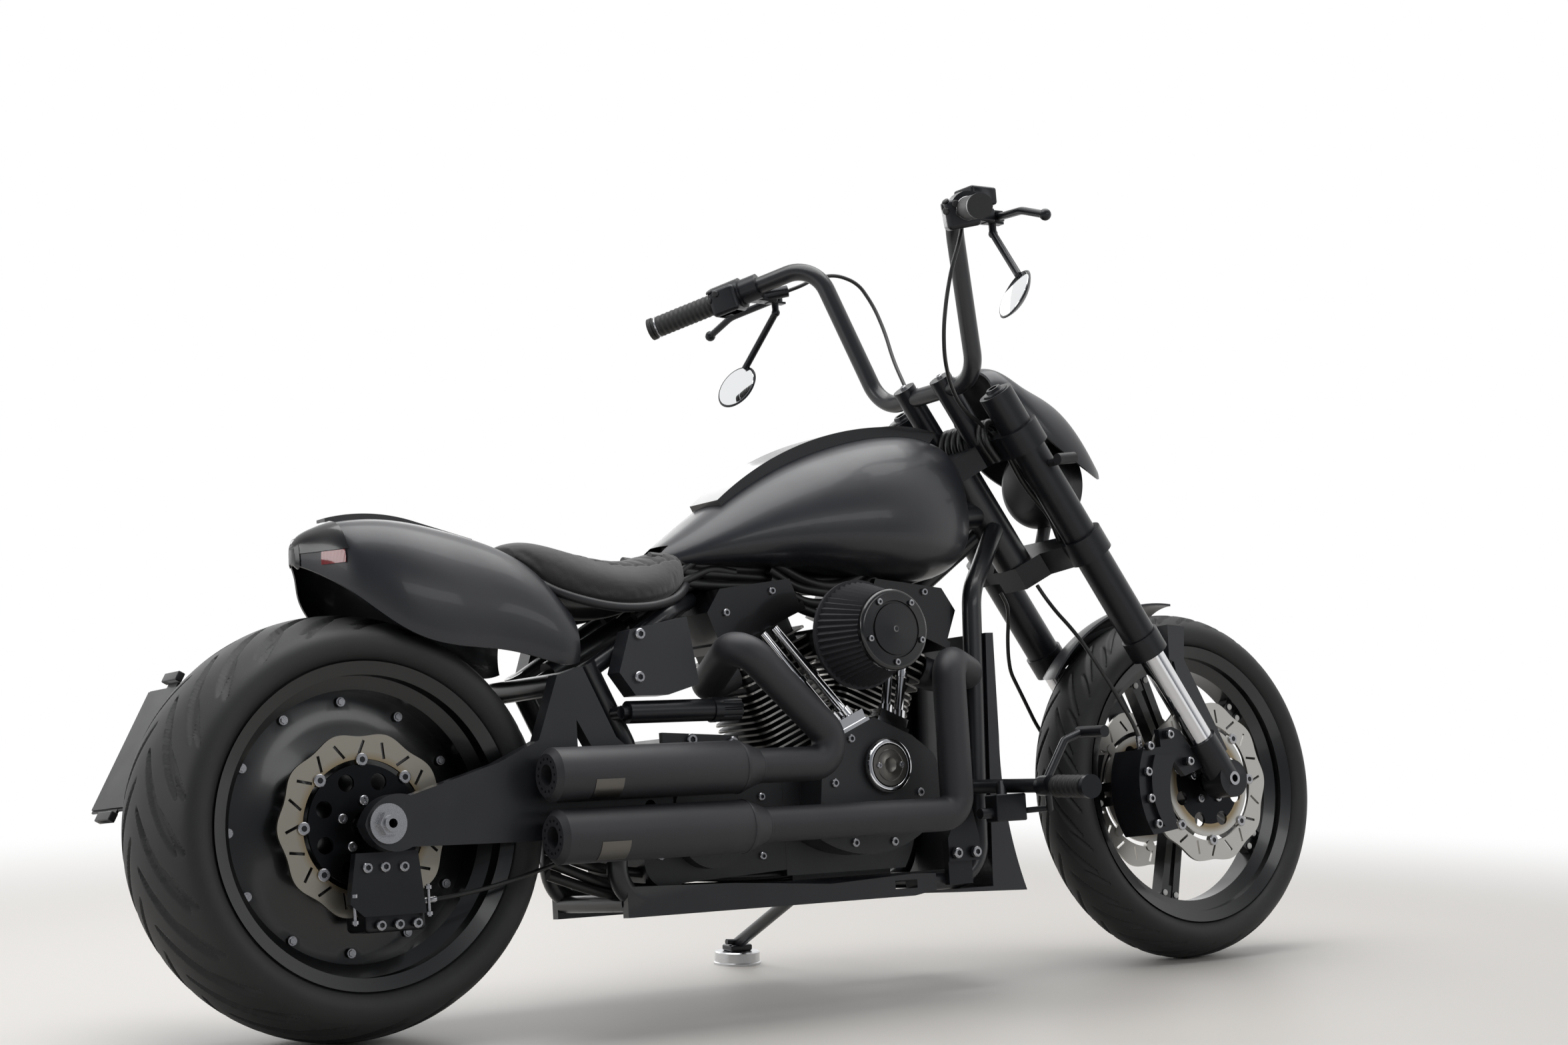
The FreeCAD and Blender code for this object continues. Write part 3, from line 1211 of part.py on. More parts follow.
def grips():
    grip = pipe(grip_line(-6), grip_line(GRIP_LENGTH), GRIP_R, BAR_R + FIT)
    end = rod(grip_line(-14), grip_line(-6), GRIP_R + 2)
    return Part.makeCompound(both_sides(joined([grip, end])))


def hand_control(side):
    """Switch housing, lever perch and its cylinder on the left end; the right one carries a reservoir."""
    start, end = grip_line(GRIP_LENGTH + 2), grip_line(GRIP_LENGTH + 58)
    along = unit(end - start)
    housing = rod(start, end, 29.0)
    switch = block(0, 0, 0, 54, 58, 50, 8.0)
    switch.Placement = Placement((start + end) * 0.5 + Vector(-8, -4, -8), Rotation(X, along))
    perch = rod(end, end + along * 34, 24.0)
    pump = rod(end + Vector(30, -8, -8), end + Vector(78, -36, 0), 11.0)
    arm = block(end.x + 33.2, end.y - 8, end.z - 6, 64.4, 30, 24, 4.0)
    ears = [block(end.x + 69, end.y - 7, end.z - 7.6 + 9.6 * up, 38, 15, 4) for up in (1, -1)]
    pieces = [housing, switch, perch, arm, pump] + ears
    if side < 0:
        pieces.append(block(end.x + 40, end.y - 12, end.z + 26, 56, 50, 30, 5.0))
    bore = rod(start - along * 30, end + along * 60, BAR_R + FIT)
    return joined(pieces).cut(bore)


def hand_controls():
    return Part.makeCompound([hand_control(1), mirrored(hand_control(-1))])


def levers():
    """Ball-ended levers ahead of the grips, each hinged on its perch."""
    tip = from_axle(640, 480, 923)
    hinge = grip_line(GRIP_LENGTH + 60) + Vector(76, 0, -8)
    blade = bent_rod([hinge, from_axle(634, 418, 946), tip], 6.5, 60.0)
    ball = Part.makeSphere(10.0, tip)
    eye = rod(hinge - Z * 7, hinge + Z * 7, 11.0)
    return Part.makeCompound(both_sides(joined([blade, ball, eye])))


def mirrors():
    """Round mirrors hung below the bar: a bent flat arm and a dished shell that looks back and up."""
    root = from_axle(607, 312, 950.1)
    elbow = from_axle(607, 312, 934)
    end = from_axle(630, 391, 842)
    arm = joined([rod(root, elbow, 6.5), Part.makeSphere(8.0, elbow), rod(elbow, end, 6.5)])
    facing = unit(Vector(-0.85, -0.2, 0.45))
    down = unit(Vector(-0.45, 0, -0.85))
    middle = end + down * (MIRROR_R - 6) + facing * -2 + Y * 6
    shell = lathe(middle, facing, (0, -11), (8, -11), ((MIRROR_R - 12, -7), (MIRROR_R, 1)), (MIRROR_R - 2, 3),
                  (0, 3))
    return Part.makeCompound(both_sides(joined([arm, shell])))


# Each station: how far behind the front axle, half width, and height of its lower edge and its top
COWL_STATIONS = ((420, 66, 711, 765), (370, 98, 666, 758), (310, 112, 606, 729), (255, 110, 574, 689),
                 (215, 96, 561, 626), (198, 84, 561, 606))
COWL_SKIN = 4.0
LAMP_BACK = 314.0
LAMP_UP = 560.7
LAMP_R = 78.0


def cowl_sections():
    return [(FRONT_CENTRE.x - back, half, FRONT_CENTRE.z + low, FRONT_CENTRE.z + high)
            for back, half, low, high in COWL_STATIONS]


def headlight():
    """Round lamp on a stay from the lower clamp, with a stub that carries the cowl."""
    middle = from_axle(LAMP_BACK, 0, LAMP_UP)
    lamp = lathe(middle, X, (0, 0), (50, 0), ((72, 18), (LAMP_R, 56)), (LAMP_R, 80), (0, 80))
    stay = rod(head_point(LOWER_CLAMP_AT, 66.0 + FIT), head_point(LOWER_CLAMP_AT, 66.0) + Vector(24, 0, 64),
               12.0)
    foot = block(0, 0, 0, 6, 40, 30)
    foot.Placement = Placement(head_point(LOWER_CLAMP_AT, 69.0 + FIT), Rotation(Y, -RAKE))
    room = loft([rounded_section(x, [(0, low - 60)] + cowl_points(half - COWL_SKIN - FIT, low,
                                                                  high - COWL_SKIN - FIT))
                 for x, half, low, high in cowl_sections()])
    stub = rod(middle + Vector(30, 0, 50), middle + Vector(30, 0, 300), 10.0).common(room)
    return joined([lamp, stay.cut(plate_room()), foot, stub])


def plate_room():
    room = Part.makeBox(60, 100, 80, Vector(-60, -50, -40))
    room.Placement = Placement(head_point(LOWER_CLAMP_AT, 66.0 + FIT), Rotation(Y, -RAKE))
    return room


def cowl_points(half, low, high):
    """The right half of a cross-section, from its lower edge to the middle of its top."""
    height = high - low
    return [(half, low), (0.95 * half, low + 0.42 * height), (0.62 * half, low + 0.84 * height), (0, high)]


def headlight_cowl():
    """Pointed cowl over the headlight, open behind and below."""
    sections = []
    for x, half, low, high in cowl_sections():
        outer = cowl_points(half, low, high)
        inner = cowl_points(half - COWL_SKIN, low, high - COWL_SKIN)
        sections.append(arch_section(x, outer, inner))
    return loft(sections)


def indicators():
    mount = fork_point(690, FORK_PITCH + OUTER_TUBE_R + FIT)
    stalk = rod(mount, mount + Y * 36, 7.0)
    lamp = rod(mount + Vector(-16, 36, 0), mount + Vector(24, 36, 4), 10.0)
    return Part.makeCompound(both_sides(joined([stalk, lamp])))


def front_calipers():
    """Six-piston calipers astride the discs, behind the fork legs, with their outer bridge plate."""
    y = FRONT_DISC_Y + 10
    centre = FRONT_CENTRE
    body = slab(y - 38, y + 36, (centre.x - 118, centre.z + 66), (centre.x - 196, centre.z + 62),
                ((centre.x - 214, centre.z - 16), (centre.x - 190, centre.z - 92)),
                (centre.x - 128, centre.z - 84),
                ((centre.x - 140, centre.z - 10), (centre.x - 118, centre.z + 66)))
    plate = slab(y + 36, y + 44, (centre.x - 122, centre.z + 48), (centre.x - 176, centre.z + 50),
                 ((centre.x - 190, centre.z - 16), (centre.x - 168, centre.z - 78)),
                 (centre.x - 136, centre.z - 72),
                 ((centre.x - 146, centre.z - 10), (centre.x - 122, centre.z + 48)))
    slot = Part.makeCylinder(FRONT_DISC_R + RUNNING_GAP, DISC_THICKNESS + 2 * RUNNING_GAP,
                             FRONT_CENTRE + Y * (FRONT_DISC_Y - DISC_THICKNESS / 2 - RUNNING_GAP), Y)
    mount = slab(y + 22, y + 34, (centre.x - 150, centre.z + 60), (centre.x - 152, centre.z + 96),
                 (centre.x - 118, centre.z + 100), (centre.x - 60, centre.z + 76),
                 (centre.x - 30, centre.z + 30), (centre.x - 96, centre.z + 10),
                 (centre.x - 124, centre.z + 40))
    bolts = [rod(Vector(centre.x - x, y + 34, centre.z + z), Vector(centre.x - x, y + 44, centre.z + z), 8.0)
             for x, z in ((136, 86), (92, 36))]
    screws = []
    for angle in (158, 172, 186, 200):
        at = centre + Vector(math.cos(math.radians(angle)), 0, math.sin(math.radians(-angle))) * 196
        screws.append(rod(Vector(at.x, y + 30, at.z), Vector(at.x, y + 40, at.z), 5.0))
    feet = rod(fork_point(0, FORK_PITCH - 24 - FIT), fork_point(0, 200), 34.0 + FIT)
    legs = rod(fork_point(0), fork_point(400), INNER_TUBE_R + 5 + FIT)
    solid = joined([body, plate, mount] + bolts + screws)
    return Part.makeCompound(both_sides(solid.cut(slot).cut(feet).cut(legs)))


# Cords

def clamp_top(ahead, y):
    return head_point(UPPER_CLAMP_AT + CLAMP_HEIGHT / 2 + HOSE_LIFT, ahead, y)


def front_brake_hoses():
    """One on each side: from the lower clamp's back, behind the fork leg, to the caliper's top."""
    route = [head_point(LOWER_CLAMP_AT - CLAMP_HEIGHT / 2 - FIT, -20, 50), from_axle(327.5, 52, 345.6),
             from_axle(317, 66, 318), from_axle(305, 86, 288), from_axle(293, 102, 257),
             from_axle(282, 112, 229),
             from_axle(249, 118, 177),
             from_axle(224, 121, 134), from_axle(205, 120, 106), from_axle(192, 115, 84),
             from_axle(187, 111, 63.8)]
    return Part.makeCompound(both_sides(cord("front_brake_hose", route, HOSE_R)))


def clutch_cable():
    """From the left lever's cylinder, over in front of the bar and down to the upper clamp."""
    route = [from_axle(596.6, 282.8, 969.9), from_axle(572, 270, 979), from_axle(546, 262, 993),
             from_axle(505, 250, 1000), from_axle(465, 236, 983), from_axle(449, 215, 935),
             from_axle(448, 190, 880),
             from_axle(458, 160, 818), from_axle(468, 118, 755), from_axle(470, 88, 695),
             from_axle(463, 84, 655),
             clamp_top(40, 84)]
    return cord("clutch_cable", route, HOSE_R)


def bar_brake_hose():
    """From the right perch's underside, down behind the bar to the upper clamp."""
    route = [from_axle(669, -305, 944.9), from_axle(682, -309, 915), from_axle(698, -303, 872),
             from_axle(704, -290, 825),
             from_axle(698, -268, 776), from_axle(678, -240, 732), from_axle(642, -206, 696),
             from_axle(596, -170, 672),
             from_axle(546, -136, 658), from_axle(499, -108, 653), from_axle(470, -88, 646),
             clamp_top(40, -84)]
    return cord("bar_brake_hose", route, HOSE_R)


def rear_brake_hose():
    """From the rear caliper, under the swingarm, to the frame's upright."""
    route = [Vector(81.4, -110.4, 206.1), Vector(128, -130, 211), Vector(180, -143, 220),
             Vector(232, -149, 232),
             Vector(284, -149, 246), Vector(334, -145, 260), Vector(382, -132, 275),
             Vector(417.2, -113.8, 290.4)]
    return cord("rear_brake_hose", route, HOSE_R)


# Side stand, drawn as it stands on the floor

def stand_leg(place):
    """Boss on the pin, leg down to the foot, and the foot pad lying flat on the puck."""
    pivot = place.multVec(STAND_PIVOT)
    axis = place.Rotation.multVec(unit(STAND_AXIS))
    ankle = Vector(FOOT_X, FOOT_Y, PUCK_HEIGHT + FOOT_HEIGHT)
    boss = rod(pivot - axis * STAND_BOSS_HALF, pivot + axis * STAND_BOSS_HALF, STAND_BOSS_R)
    shin = rod(pivot + unit(ankle - pivot) * STAND_BOSS_R / 2, ankle, LEG_R)
    pad = block(FOOT_X, FOOT_Y, PUCK_HEIGHT + FOOT_HEIGHT / 2, 46.0, 34.0, FOOT_HEIGHT, 4.0)
    heel = rod(ankle + Vector(-26, -4, 6), ankle + Vector(4, -4, 4), 5.0)
    floor = Part.makeBox(200, 200, PUCK_HEIGHT, Vector(FOOT_X - 100, FOOT_Y - 100, 0))
    hole = rod(pivot - axis * 40, pivot + axis * 40, STAND_PIN_R + FIT)
    return joined([boss, shin, pad, heel]).cut(floor).cut(hole)


def stand_puck(place):
    """The aluminium puck under the foot, with a dark rubber ring at its base."""
    return lathe(Vector(FOOT_X, FOOT_Y, 0), Z, (0, 0), (PUCK_R, 0), (PUCK_R, 4), (PUCK_R - 2, 5),
                 (PUCK_R - 2, PUCK_HEIGHT - 2), (PUCK_R - 4, PUCK_HEIGHT), (0, PUCK_HEIGHT))


# Placing

def lowest(centre, axis, radius, crown):
    """Height of the lowest point of a tyre whose crown is an arc."""
    return centre.z - (radius - crown) * math.sqrt(1 - axis.z ** 2) - crown


def standing():
    """How the upright motorcycle is placed so that it leans and both tyres touch the floor."""
    steer = Placement(Vector(), Rotation(HEAD_UP, STEER_REST), HEAD_FOOT)
    place = Placement(Vector(), Rotation(X, -LEAN))
    for _ in range(4):
        heights = []
        for centre, turn, radius, crown in (
                (REAR_CENTRE, Placement(), REAR_TYRE_R, crown_radius(REAR_TYRE_HALF, CROWN_DROP)),
                (FRONT_CENTRE, steer, FRONT_TYRE_R, crown_radius(FRONT_TYRE_HALF, FRONT_CROWN_DROP))):
            both = place.multiply(turn)
            heights.append(lowest(both.multVec(centre), both.Rotation.multVec(Y), radius, crown))
        pitch = math.degrees(math.atan2(heights[1] - heights[0], WHEELBASE))
        place = Placement(Vector(0, 0, -heights[0]), Rotation()).multiply(place)
        place = Placement(Vector(), Rotation(Y, pitch)).multiply(place)
    return place, steer


CHASSIS = (frame, swingarm, rear_axle, rear_shock, preload_adjuster, drive_belt, rear_caliper, engine_case,
           gearbox_case,
           cam_cover, cylinders, rocker_covers, pushrod_tubes, intake, air_filter, filter_cover,
           primary_cover, exhaust_pipes, mufflers, fuel_tank, tank_console, seat, rear_fender, tail_cap,
           tail_lights, side_covers, chin_spoiler, foot_controls, plate_holder, rear_brake_hose)
REAR_WHEEL = (rear_tyre, rear_rim, rear_disc, rear_pulley)
STEERING = (triple_clamps, fork_outer_tubes, fork_inner_tubes, fork_feet, front_axle, front_fender,
            handlebar, grips, hand_controls, levers, mirrors, headlight, headlight_cowl, indicators,
            front_calipers, front_brake_hoses, clutch_cable, bar_brake_hose)
FRONT_WHEEL = (front_tyre, front_rim, front_discs)
SIDE_STAND = (stand_leg, stand_puck)


def shown(vector, digits=4):
    return [round(value, digits) for value in vector]


def report_axes(place, steer, shift):
    """Print the joints' and mounts' places and directions, in metres."""
    front = shift.multiply(place).multiply(steer)
    rear = shift.multiply(place)
    for name, where, point, direction in (
            ("steering", rear, HEAD_FOOT + HEAD_UP * 1000, HEAD_UP),
            ("front_wheel", front, FRONT_CENTRE, Y), ("rear_wheel", rear, REAR_CENTRE, Y),
            ("side_stand", rear, STAND_PIVOT, unit(STAND_AXIS)),
            ("grip_left", front, grip_line(-14), unit(GRIP_END - BAR_TOP)),
            ("axle_left", front, FRONT_CENTRE + Y * (FORK_PITCH + 27), Y)):
        print(name, shown(where.multVec(point) * 0.001), shown(where.Rotation.multVec(direction)))


def main():
    os.makedirs("parts", exist_ok=True)
    place, steer = standing()
    shift = Placement(Vector(-ORIGIN_X, -ORIGIN_Y, 0), Rotation())
    chassis = shift.multiply(place)
    box = FreeCAD.BoundBox()
    for makers, where in ((CHASSIS, chassis), (REAR_WHEEL, chassis), (STEERING, chassis.multiply(steer)),
                          (FRONT_WHEEL, chassis.multiply(steer)), (SIDE_STAND, shift)):
        for make in makers:
            shape = make(place) if makers is SIDE_STAND else make()
            shape.Placement = where.multiply(shape.Placement)
            shape.exportStep("parts/" + make.__name__ + ".step")
            box.add(shape.BoundBox)
            print(make.__name__, "solids", len(shape.Solids), "valid", shape.isValid(),
                  "volume", round(shape.Volume / 1000))
    print("box", box)
    report_axes(place, steer, shift)


main()
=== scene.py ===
# %% [markdown]
# # A long, low chopper motorcycle, dressed over its CAD frame
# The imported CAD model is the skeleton: every tube, casting and wheel is already in its real place. This
# notebook gives each of them its finish, and adds what a CAD model leaves plain: tread, stitching, screws,
# cooling-fin edges and cables. All lengths are metres, +X is forward, +Y is the rider's left.

import json
import math

import bpy
import numpy as np
from mathutils import Matrix, Vector


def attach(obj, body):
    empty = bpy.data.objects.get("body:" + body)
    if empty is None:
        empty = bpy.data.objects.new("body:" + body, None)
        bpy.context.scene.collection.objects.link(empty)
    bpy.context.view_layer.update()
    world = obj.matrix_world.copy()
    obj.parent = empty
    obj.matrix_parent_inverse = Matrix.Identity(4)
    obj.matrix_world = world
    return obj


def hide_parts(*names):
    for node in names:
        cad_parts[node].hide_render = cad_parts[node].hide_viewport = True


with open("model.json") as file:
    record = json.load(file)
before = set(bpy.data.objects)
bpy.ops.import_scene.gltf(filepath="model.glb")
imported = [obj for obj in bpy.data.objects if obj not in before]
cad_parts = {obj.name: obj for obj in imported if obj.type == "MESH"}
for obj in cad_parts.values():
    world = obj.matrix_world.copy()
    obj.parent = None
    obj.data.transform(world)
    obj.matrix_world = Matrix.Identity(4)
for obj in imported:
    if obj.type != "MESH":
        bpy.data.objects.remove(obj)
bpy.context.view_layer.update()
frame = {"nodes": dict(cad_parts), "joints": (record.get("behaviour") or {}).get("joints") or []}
NODES = frame["nodes"]

# %% [markdown]
# ## The motorcycle's own frame
# The CAD draws the motorcycle upright and then leans it onto its stand, with the fork turned a little.
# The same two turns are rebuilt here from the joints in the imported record, so that new pieces can be
# drawn upright, in millimetres, with x = 0 at the rear axle, and then be set down where the CAD is.

# %% Upright drawing frames
MM = 0.001
WHEELBASE = 1710.0
RAKE = math.radians(34.0)
TRAIL = 145.0
STEER_REST = math.radians(3.4)
REAR_TYRE_R = 325.0
FRONT_TYRE_R = 319.3
JOINTS = {joint["name"]: joint for joint in frame["joints"]}


def upright_to_row():
    """Matrix from the upright motorcycle, in millimetres, to the row frame, in metres.

    Its columns are the motorcycle's own axes: the rear axle's line is Y, the steering axis lies in
    the plane across it, and X and Z follow from the rake.
    """
    left = Vector(JOINTS["rear_wheel_spin"]["axis"]).normalized()
    steering = Vector(JOINTS["steering"]["axis"]).normalized()
    across = left.cross(steering).normalized()
    up = (steering * math.cos(RAKE) + across * math.sin(RAKE)).normalized()
    ahead = left.cross(up).normalized()
    centre = Vector(JOINTS["rear_wheel_spin"]["pos_m"])
    turn = Matrix((ahead, left, up)).transposed().to_4x4()
    return Matrix.Translation(centre) @ turn @ Matrix.Scale(MM, 4) @ Matrix.Translation((0, 0, -REAR_TYRE_R))


BIKE = upright_to_row()
HEAD_UP = Vector((-math.sin(RAKE), 0.0, math.cos(RAKE)))
HEAD_FOOT = Vector((WHEELBASE + TRAIL, 0.0, 0.0))
STEER = (Matrix.Translation(HEAD_FOOT) @ Matrix.Rotation(STEER_REST, 4, HEAD_UP)
         @ Matrix.Translation(-HEAD_FOOT))
FORK = BIKE @ STEER
print("front axle", [round(v, 4) for v in FORK @ Vector((WHEELBASE, 0, FRONT_TYRE_R))],
      "joint", JOINTS["front_wheel_spin"]["pos_m"])

# %% [markdown]
# ## Camera
# A picture's camera can be recovered from the wheels and the frame: two circles of known size and a
# known wheelbase fix where it stood. It was low, behind the rear wheel and to the right, with a lens
# a little longer than normal, which keeps the wheels nearly the same size.

# %% Place the camera
CAMERA_AT = (-2.7039, -4.0606, 0.7191)
CAMERA_YAW = 55.97
CAMERA_PITCH = 0.965
FOCAL_PIXELS = 4232.67
IMAGE_WIDTH = 2352
SENSOR = 36.0
SCENE = bpy.context.scene


def in_scene(name, data):
    """A new object with that data, linked to the scene."""
    made = bpy.data.objects.new(name, data)
    SCENE.collection.objects.link(made)
    return made


camera = in_scene("camera", bpy.data.cameras.new("camera"))
camera.location = CAMERA_AT
camera.rotation_euler = (math.radians(90 + CAMERA_PITCH), 0, math.radians(CAMERA_YAW - 90))
camera.data.sensor_width = SENSOR
camera.data.lens = FOCAL_PIXELS / IMAGE_WIDTH * SENSOR
camera.data.clip_end = 100
SCENE.camera = camera
SCENE.view_settings.view_transform = "Standard"
print("lens", round(camera.data.lens, 1), "mm")

# %% [markdown]
# ## One function for nodes, one for colours
# A material is a small graph. Adding a node, setting its values and linking it is always the same work,
# so one function does it. Colours are read off as sRGB hex values, while shaders calculate in linear
# light, so one function turns one into the other. Noise, ranges, blends and bumps have functions too,
# whose results are pairs of node and output.

# %% Helpers for materials
def linear(hex_colour):
    """sRGB hex to linear RGBA: c / 12.92 near black, else ((c + 0.055) / 1.055) to the power 2.4."""
    channels = [int(hex_colour[i:i + 2], 16) / 255 for i in (1, 3, 5)]
    values = [c / 12.92 if c <= 0.04045 else ((c + 0.055) / 1.055) ** 2.4 for c in channels]
    return (*values, 1.0)


def add(tree, kind, inputs=None, links=None, **settings):
    """Adds a node with its settings, its inputs' values and its links as {input: (node, output)}."""
    made = tree.nodes.new("ShaderNode" + kind)
    for key, value in settings.items():
        setattr(made, key, value)
    for key, value in (inputs or {}).items():
        made.inputs[key].default_value = value
    for key, (source, output) in (links or {}).items():
        tree.links.new(source.outputs[output], made.inputs[key])
    return made


def new_material(name):
    """An empty material, its tree, and the places on the object as an output."""
    material = bpy.data.materials.new(name)
    material.use_nodes = True
    tree = material.node_tree
    tree.nodes.clear()
    return material, tree, (add(tree, "TexCoord"), "Object")


def principled(material, inputs, links):
    """Ends a material with one principled shader, and returns it."""
    shader = add(material.node_tree, "BsdfPrincipled", inputs, links)
    add(material.node_tree, "OutputMaterial", links={"Surface": (shader, "BSDF")})
    return material


def per_metre(size_mm):
    """Texture scale of a pattern whose cells are that many millimetres wide."""
    return 1000.0 / size_mm


def noise(tree, place, size_mm, detail, **inputs):
    """Cloudy noise with clouds of that size."""
    inputs = {"Scale": per_metre(size_mm), "Detail": detail, **inputs}
    return add(tree, "TexNoise", inputs, {"Vector": place}), "Fac"


def carried(tree, value, low, high, start=0.0, end=1.0, **settings):
    """A value's range from low to high carried to the range from start to end, and held beyond it."""
    inputs = {"From Min": low, "From Max": high, "To Min": start, "To Max": end}
    return add(tree, "MapRange", inputs, {"Value": value}, **settings), "Result"


def blend(tree, factor, a, b):
    """The colour a (1 - factor) + b factor, where b is a colour or another node's output."""
    inputs, links = {"A": a}, {"Factor": factor}
    (links if len(b) == 2 else inputs)["B"] = b
    return add(tree, "Mix", inputs, links, data_type="RGBA"), "Result"


def bump(tree, pattern, strength, height_m):
    """Tilts the surface as if the pattern, from 0 to 1, stood height_m high, times its strength."""
    inputs = {"Strength": strength, "Distance": height_m}
    return add(tree, "Bump", inputs, {"Height": pattern}), "Normal"


def vector_math(tree, operation, inputs, links, output="Vector"):
    """The operation on two vectors."""
    return add(tree, "VectorMath", inputs, links, operation=operation), output


# %% [markdown]
# ## Painted, coated and anodised surfaces
# Nearly the whole motorcycle is black, so the finishes are told apart by how they scatter light. Paint
# is smooth with a soft sheen, powder coat has a fine pebbled skin of about a millimetre, wrinkle and
# heat coats are rougher, and anodised aluminium keeps its metal under a dark skin.

# %% Coated finishes
WANDER_MM, SPECK_MM = 55, 4
GRAIN_M = 0.0002


def coated(name, colour, roughness, grain_mm, grain_depth, metallic=0.0, coat=0.0, mottle=0.12,
           dust="#5a5854", dust_share=0.06, ior=1.5):
    """A coat: colour with faint dust, roughness that wanders, and a pebbled bump of grain_mm."""
    material, tree, place = new_material(name)
    wander = noise(tree, place, WANDER_MM, 4.0)
    rough = carried(tree, wander, 0, 1, roughness - mottle / 2, roughness + mottle / 2)
    specks = noise(tree, place, SPECK_MM, 8.0, Roughness=0.7)
    share = carried(tree, specks, 0.55, 0.8, 0, dust_share)
    tint = blend(tree, share, linear(colour), linear(dust))
    grain = bump(tree, noise(tree, place, grain_mm, 3.0), grain_depth, GRAIN_M)
    inputs = {"Metallic": metallic, "Coat Weight": coat, "Coat Roughness": 0.08, "IOR": ior}
    return principled(material, inputs, {"Base Color": tint, "Roughness": rough, "Normal": grain})


SATIN_PAINT = coated("satin_black_paint", "#1d1e23", 0.38, 1.6, 0.10, coat=0.12)
GLOSS_PAINT = coated("gloss_black_paint", "#0a0a0d", 0.24, 2.5, 0.06, coat=0.35, mottle=0.05)
RIM_PAINT = coated("gloss_rim_paint", "#08090b", 0.26, 2.5, 0.06, coat=0.25, mottle=0.06)
FRAME_PAINT = coated("frame_black_paint", "#17181c", 0.34, 2.0, 0.15, coat=0.15)
POWDER_COAT = coated("black_powder_coat", "#1f2023", 0.42, 1.1, 0.55)
HEAT_COAT = coated("matte_heat_coat", "#222226", 0.52, 0.9, 0.45)
ANODISED = coated("black_anodised_aluminium", "#1e1f23", 0.32, 0.6, 0.25, metallic=0.4)
CAST = coated("black_cast_aluminium", "#1b1b1d", 0.5, 0.9, 0.7, metallic=0.2)
MOULDED = coated("moulded_black_plastic", "#1a1a1d", 0.45, 0.8, 0.4, ior=1.46)
WHITE_CAP = coated("pale_nylon_cap", "#d2d2cf", 0.4, 0.8, 0.2, dust_share=0.1)

# %% [markdown]
# ## Bare metals
# Bright parts carry the eye: chromed tubes, zinc-plated screws, turned aluminium and ground brake discs.
# A metal's colour is its reflection colour. What differs is how the tool left it: polished, brushed,
# or turned in rings round an axis.

# %% Metal finishes
SCRATCH_M = 0.0001
STRAW_FADE_MM, CARRIER_EDGE_MM = 12.0, 0.5


def metal(name, colour, roughness, scratch_mm, scratch_depth, stretch=(1.0, 1.0, 1.0)):
    """A bare metal with fine marks, drawn out along an axis where stretch is small."""
    material, tree, place = new_material(name)
    drawn_out = add(tree, "Mapping", {"Scale": stretch}, {"Vector": place}), "Vector"
    marks = noise(tree, drawn_out, scratch_mm, 5.0)
    return principled(material, {"Metallic": 1.0, "Base Color": linear(colour)},
                      {"Roughness": carried(tree, marks, 0, 1, roughness * 0.7, roughness * 1.3),
                       "Normal": bump(tree, marks, scratch_depth, SCRATCH_M)})


CHROME = metal("hard_chrome", "#d8d8da", 0.08, 6.0, 0.02)
ZINC = metal("zinc_plated_steel", "#a9a9ac", 0.28, 1.2, 0.1)
TURNED = metal("turned_aluminium", "#cfd0d2", 0.25, 1.0, 0.15, (0.1, 0.1, 6.0))
FIN_METAL = metal("machined_fin_edge", "#b4b2ad", 0.36, 1.0, 0.1)
SATIN_METAL = metal("satin_grey_aluminium", "#6b6965", 0.34, 0.8, 0.1)
MIRROR_GLASS = metal("silvered_glass", "#e9ebec", 0.03, 20.0, 0.0)


def disc_finish(name, joint, carrier_mm, tint_mm, steel_colour):
    """A ground steel brake ring on a black carrier, told apart by the distance from the axle.

    The distance is the length of (place - centre) x axis. As far out as carrier_mm there is anodised
    aluminium. The steel is straw-coloured by heat at tint_mm and fades to its own colour beyond.
    """
    material, tree, place = new_material(name)
    offset = vector_math(tree, "SUBTRACT", {1: JOINTS[joint]["pos_m"]}, {0: place})
    swept = vector_math(tree, "CROSS_PRODUCT", {1: JOINTS[joint]["axis"]}, {0: offset})
    distance = vector_math(tree, "LENGTH", {}, {0: swept}, "Value")
    straw = carried(tree, distance, tint_mm * MM, (tint_mm + STRAW_FADE_MM) * MM)
    steel = carried(tree, distance, carrier_mm * MM, (carrier_mm + CARRIER_EDGE_MM) * MM)
    ring = blend(tree, straw, linear("#8f8066"), linear(steel_colour))
    return principled(material, {"Roughness": 0.32, "Metallic": 0.9},
                      {"Base Color": blend(tree, steel, linear("#1a1b1e"), ring),
                       "Normal": bump(tree, noise(tree, place, 0.9, 5.0), 0.2, SCRATCH_M)})


REAR_DISC = disc_finish("rear_disc_steel", "rear_wheel_spin", 93.0, 100.0, "#9c978c")
FRONT_DISC = disc_finish("front_disc_steel", "front_wheel_spin", 78.0, 84.0, "#bab8b3")

# %% [markdown]
# ## Rubber, leather, cloth and lenses
# Rubber is a coat without shine. Suede gets a sheen, which brightens it where it is seen at a slant. A
# lens is one deep colour under a clear coat, with the ribs of its back as a bump.

# %% Soft and clear finishes
TYRE_RUBBER = coated("tyre_rubber", "#161617", 0.6, 0.8, 0.5, dust_share=0.2, dust="#3a3836", ior=1.52)
BELT_RUBBER = coated("belt_rubber", "#1a1a1a", 0.6, 0.7, 0.6)
GRIP_RUBBER = coated("grip_rubber", "#191919", 0.55, 0.9, 0.8)
HOSE_RUBBER = coated("hose_rubber", "#161616", 0.4, 0.6, 0.2)
FILTER_CLOTH = coated("filter_gauze", "#232227", 0.7, 0.5, 1.0, dust_share=0.2)
PEBBLE_MM, RIB_MM = 1.3, 18


